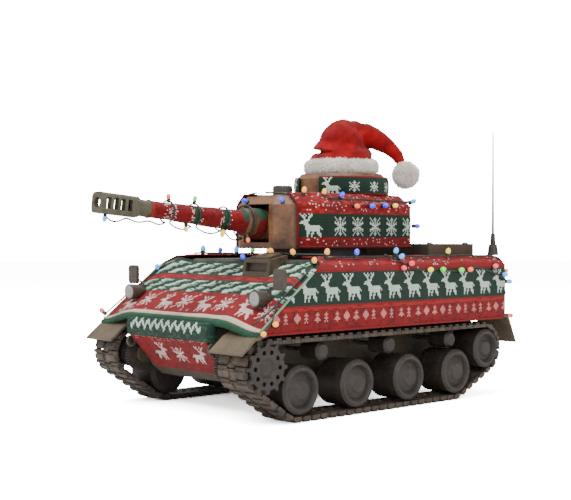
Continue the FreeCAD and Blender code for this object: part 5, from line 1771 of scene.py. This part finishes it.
HULL_BULBS = [
    Bulb((45, 98, 132.5), Hue.WARM), Bulb((60, 100, 127), Hue.WARM, (0.5, 0.5, 0.7)),
    Bulb((54, 70, 133.5), Hue.WARM, (0.6, 0.2, 0.6)), Bulb((48, 36, 134), Hue.WARM, (0.6, 0.2, 0.6)),
    Bulb((50, 27, 131.5), Hue.WARM, (0.8, 0.2, 0.3)), Bulb((57, 10, 128.2), Hue.BLUE, (0.6, 0.0, 0.8)),
    Bulb((47, -14, 134), Hue.ICE, (0.3, 0.3, 0.9)), Bulb((42, -70, 134.5), Hue.ICE),
    Bulb((12, 100, 132), Hue.BLUE), Bulb((-38, 99, 133), Hue.ICE, (0, 0.4, 1)),
    Bulb((-37, 104, 130.5), Hue.ICE, (0, 1, 0.5)), Bulb((-47, 106.5, 125), Hue.PINK, (0, 1, 0.3)),
    Bulb((-38, 106.5, 122.5), Hue.PINK, (0.3, 1, 0)), Bulb((-71, 107.5, 119.5), Hue.YELLOW, (0, 1, 0.2)),
    Bulb((-88, 107.5, 119.5), Hue.GREEN, (0, 1, 0.2)), Bulb((-114, 107.5, 118.5), Hue.GREEN, (0, 1, 0.2)),
    Bulb((-127, 107.5, 118.8), Hue.ORANGE, (0, 1, 0.2)), Bulb((-110, 98.5, 132), Hue.YELLOW),
    Bulb((-165, 107.5, 120.5), Hue.PINK, (0, 1, 0.4)), Bulb((-178, 108, 114), Hue.ICE, (-0.2, 1, 0)),
    Bulb((-187, 105.5, 107), Hue.ICE, (-0.5, 1, 0)), Bulb((112, 107, 80.5), Hue.WARM, (0.2, 1, 0.2)),
    Bulb((123, 107, 74.5), Hue.WARM, (0.5, 1, 0)), Bulb((-189, 105, 74.5), Hue.PINK, (-0.6, 1, 0)),
    Bulb((127, -103, 79.5), Hue.PINK, (0.3, -0.6, 0.6)), Bulb((72, -101, 117), Hue.ICE),
    *[Bulb((18 - 21 * n, -99.5, 132.1), hue) for n, hue in enumerate(
        [Hue.WARM, Hue.BLUE, Hue.PINK, Hue.GREEN, Hue.YELLOW, Hue.ICE, Hue.ORANGE, Hue.BLUE])],
    Bulb((-192.6, 99, 116), Hue.WARM, (-1, 0.1, 0.2)), Bulb((-192.4, 97, 96), Hue.BLUE, (-1, 0, 0)),
    Bulb((-192.6, -99, 116), Hue.GREEN, (-1, -0.1, 0.2)), Bulb((-192.4, -97, 96), Hue.WARM, (-1, 0, 0))]
TURRET_BULBS = [
    Bulb((33, -14, 180.5), Hue.BLUE, (1, 0, 0.3)), Bulb((28, 27, 181), Hue.BLUE, (1, 0.6, 0.3)),
    Bulb((14, 38, 186.3), Hue.WARM), Bulb((-2, 47, 185), Hue.WARM),
    Bulb((-17, 52, 183.5), Hue.BLUE, (0, 1, 1)),
    Bulb((-33, 54, 177), Hue.ORANGE, (0, 1, 0)), Bulb((-53, 54, 177), Hue.BLUE, (0, 1, 0.1)),
    Bulb((-71, 53.5, 178), Hue.BLUE, (0, 1, 0.1)), Bulb((-85, 53, 178), Hue.YELLOW, (0, 1, 0.1)),
    Bulb((-112, 51, 181.5), Hue.ICE, (-0.2, 1, 0.4)), Bulb((-125.5, 43, 160), Hue.BLUE, (-0.8, 0.6, 0)),
    Bulb((-129, 20, 183), Hue.GREEN, (-1, 0, 0.4)), Bulb((-129, -20, 183), Hue.WARM, (-1, 0, 0.4)),
    *[Bulb((4 - 24 * n, -50 + 1.2 * (n < 1), 183.5), hue, (0, -1, 0.8)) for n, hue in enumerate(
        [Hue.PINK, Hue.GREEN, Hue.YELLOW, Hue.BLUE, Hue.WARM])]]


@dataclass
class BarrelString:
    """The string that is wound round the barrel and hangs in shallow loops below it.

    Attributes:
        axis: The gun's line.
        rings: Where its turns are, in millimetres from the trunnion.
    """

    axis: GunAxis = field(default_factory=GunAxis)
    rings: tuple[float, ...] = (30.5, 55.5, 87.5, 115.0)

    def route(self) -> list[Point]:
        """Works out the route: one turn at each ring, and a sagging loop to the next."""
        points = []
        for index, ring in enumerate(self.rings):
            radius = 10.9 - 0.022 * (ring - 36) if index else 14.6
            for step in range(13):
                angle = -80 + 30 * step
                points.append(self.axis.at(ring + 3.2 * step / 12 - 1.6, radius + 0.25, angle))
            ahead = self.rings[index + 1] if index + 1 < len(self.rings) else 134
            sag = 4.2 if ahead - ring > 26 else 3.0
            for share in (0.25, 0.5, 0.75):
                drop = radius + sag * 4 * share * (1 - share)
                points.append(self.axis.at(ring + 1.6 + (ahead - ring - 3.2) * share, drop, -82 + 6 * share))
        for distance, drop in ((134, 9.6), (143, 12.4), (151, 11.0), (156, 9.4), (164, 14.0), (172, 13.6),
                               (176, 9.6)):
            points.append(self.axis.at(distance, drop, -84))
        return points

    def build(self) -> list[bpy.types.Object]:
        """Makes the wound string.

        Returns:
            The pieces.
        """
        below, above = -84.0, 78.0
        bulbs = [
            Bulb(self.axis.at(30.5, 13.5, -62), Hue.ORANGE, (0.2, 0.4, -1)),
            Bulb(self.axis.at(55.5, 9.6, below), Hue.YELLOW, (0.2, 0.3, -1)),
            Bulb(self.axis.at(58.5, 9.6, -60), Hue.YELLOW, (0.2, 0.6, -0.8)),
            Bulb(self.axis.at(88.5, 9.4, above), Hue.GREEN, (0, 0.3, 1)),
            Bulb(self.axis.at(95.0, 8.6, below), Hue.YELLOW, (0.2, 0.3, -1)),
            Bulb(self.axis.at(115.0, 8.2, above), Hue.PINK, (0.2, 0.2, 1)),
            Bulb(self.axis.at(176.0, 8.4, -80), Hue.ICE, (0.3, 0.2, -1))]
        return LightString("barrel_lights", "gun_light_string", "gun", [self.route()], bulbs, wire=0.75,
                           cap=1.9).build()


# ---------------------------------------------------------------- hard parts


@dataclass
class HardParts:
    """The moulded and metal parts, which keep the shape of the design and get their finishes here."""

    def finish_for(self, node: str) -> Finish:
        """Chooses a node's finish by what it is made of.

        Args:
            node: The node's name.

        Returns:
            Its finish.
        """
        rules = (
            (("battery_door", "lower_hull", "driver_hatch", "driver_hood"), HULL_PAINT),
            (("upper_hull", "engine_deck"), DECK_PAINT),
            (("mudguards",), GUARD_PAINT),
            (("sprocket", "road_wheel", "return_roller", "idler_wheel"), WHEEL_PAINT),
            (("turret_shell", "cupola", "mantlet"), TURRET_PAINT),
            (("muzzle_brake", "gun_barrel"), GUN_PAINT),
            (("mirror", "headlights", "vent_cap", "tow_hooks"), LAMP_PLASTIC),
            (("headlight_lenses",), LENS),
            (("antenna",), ANTENNA_PLASTIC),
            (("battery_pack",), BATTERY_WRAP),
            (("control_board",), BOARD),
            (("axles", "screws"), STEEL),
            (("pinion",), BRASS),
        )
        for words, finish in rules:
            if any(word in node for word in words):
                return finish
        return BLACK_PLASTIC

    def build(self) -> list[bpy.types.Object]:
        """Gives every node of the design its finish.

        Returns:
            No new pieces.
        """
        for node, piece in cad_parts.items():
            dress(piece, self.finish_for(node).made())
        return []


ASSEMBLIES = (
    HardParts(),
    Track("left", 1),
    Track("right", -1),
    HullJumper(),
    TurretJumper(),
    GunJumper(),
    FeltHat(),
    LightString("hull_lights", "hull_light_string", "hull",
                [SHOULDER_ROUTE, across(SHOULDER_ROUTE), CROSS_ROUTE, DROP_ROUTE, NOSE_ROUTE], HULL_BULBS),
    LightString("turret_lights", "turret_light_string", "turret", [ROOF_ROUTE, across(ROOF_ROUTE)],
                TURRET_BULBS),
    BarrelString(),
)


# ---------------------------------------------------------------- stage


@dataclass(frozen=True)
class PaleFloor(Finish):
    """A painted white studio floor, which looks paler than it lights the object."""

    paler: float = 19.0

    def make(self) -> bpy.types.Material:
        """Makes a matt white surface.

        Returns:
            The material.
        """
        tree, shader, place = self.surface()
        cloud = add_node(tree, "ShaderNodeTexNoise", {"Vector": place, "Scale": 2.0})
        colour = add_node(tree, "ShaderNodeMix", {"Factor": cloud.outputs["Fac"], 6: linear("#F4F3F2"),
                                                  7: linear("#F8F7F6")}, data_type="RGBA")
        tree.links.new(colour.outputs[2], shader.inputs["Base Color"])
        shader.inputs["Roughness"].default_value = 0.9
        matt = add_node(tree, "ShaderNodeBsdfDiffuse", {"Color": [self.paler] * 3 + [1.0]})
        seen = add_node(tree, "ShaderNodeLightPath")
        both = add_node(tree, "ShaderNodeMixShader", {0: seen.outputs["Is Camera Ray"], 1: shader.outputs[0],
                                                      2: matt.outputs[0]})
        out = tree.nodes["Material Output"]
        tree.links.new(both.outputs[0], out.inputs["Surface"])
        return bpy.data.materials[self.name]


@dataclass
class Studio:
    """A white floor, soft light from above and a camera in front of the tank's left corner."""

    eye: Point = (697.6, 760.9, 146.7)
    turn: float = 137.5
    tilt: float = -0.51
    lens: float = 71.24
    middle: float = 240.0

    def lamp(self, name: str, place: Point, size: float, power: float, aim: Point) -> None:
        """Hangs one soft lamp.

        Args:
            name: The lamp's name.
            place: Where it hangs, in metres.
            size: The side of its square in metres.
            power: Its power in watts.
            aim: What it points at, in metres.
        """
        light = bpy.data.lights.new(name, "AREA")
        light.size = size
        light.energy = power
        lamp = bpy.data.objects.new(name, light)
        lamp.location = place
        lamp.rotation_euler = (Vector(aim) - Vector(place)).to_track_quat("-Z", "Y").to_euler()
        bpy.context.scene.collection.objects.link(lamp)

    def build(self) -> None:
        """Lays the floor, hangs the lamps, lights the room and sets the camera."""
        half = 6000.0
        floor = mesh_piece("floor", [(-half, -half, 0), (half, -half, 0), (half, half, 0), (-half, half, 0)],
                           [(0, 1, 2, 3)])
        dress(floor, PaleFloor("painted_studio_floor").made())
        self.lamp("key", (1.1, 0.2, 1.5), 1.1, 26.0, (0.0, 0.0, 0.1))
        self.lamp("fill", (0.3, 1.8, 0.9), 1.6, 14.0, (0.0, 0.0, 0.1))
        self.lamp("top", (-0.2, -0.3, 1.7), 1.2, 16.0, (0.0, 0.0, 0.1))
        world = bpy.data.worlds.new("room")
        bpy.context.scene.world = world
        world.use_nodes = True
        back = world.node_tree.nodes["Background"]
        back.inputs["Color"].default_value = linear("#FFFFFF")
        seen = add_node(world.node_tree, "ShaderNodeLightPath")
        strength = add_node(world.node_tree, "ShaderNodeMapRange", {
            "Value": seen.outputs["Is Camera Ray"], "To Min": 0.7, "To Max": 18.0})
        world.node_tree.links.new(strength.outputs[0], back.inputs["Strength"])
        view = bpy.data.cameras.new("camera")
        view.lens = self.lens
        view.sensor_width = 36.0
        view.clip_start = 0.05
        camera = bpy.data.objects.new("camera", view)
        camera.location = [c * MM for c in self.eye]
        camera.rotation_euler = (math.radians(90 + self.tilt), 0.0, math.radians(self.turn))
        bpy.context.scene.collection.objects.link(camera)
        bpy.context.scene.camera = camera


def main() -> None:
    """Builds every sub-assembly in order and reports its pieces."""
    logging.basicConfig(level=logging.INFO, format="%(name)s: %(message)s")
    Studio().build()
    for part in ASSEMBLIES:
        for piece in part.build():
            LOG.info("%s: %d faces", piece.name, len(piece.data.polygons))


if __name__ == "__main__":
    main()
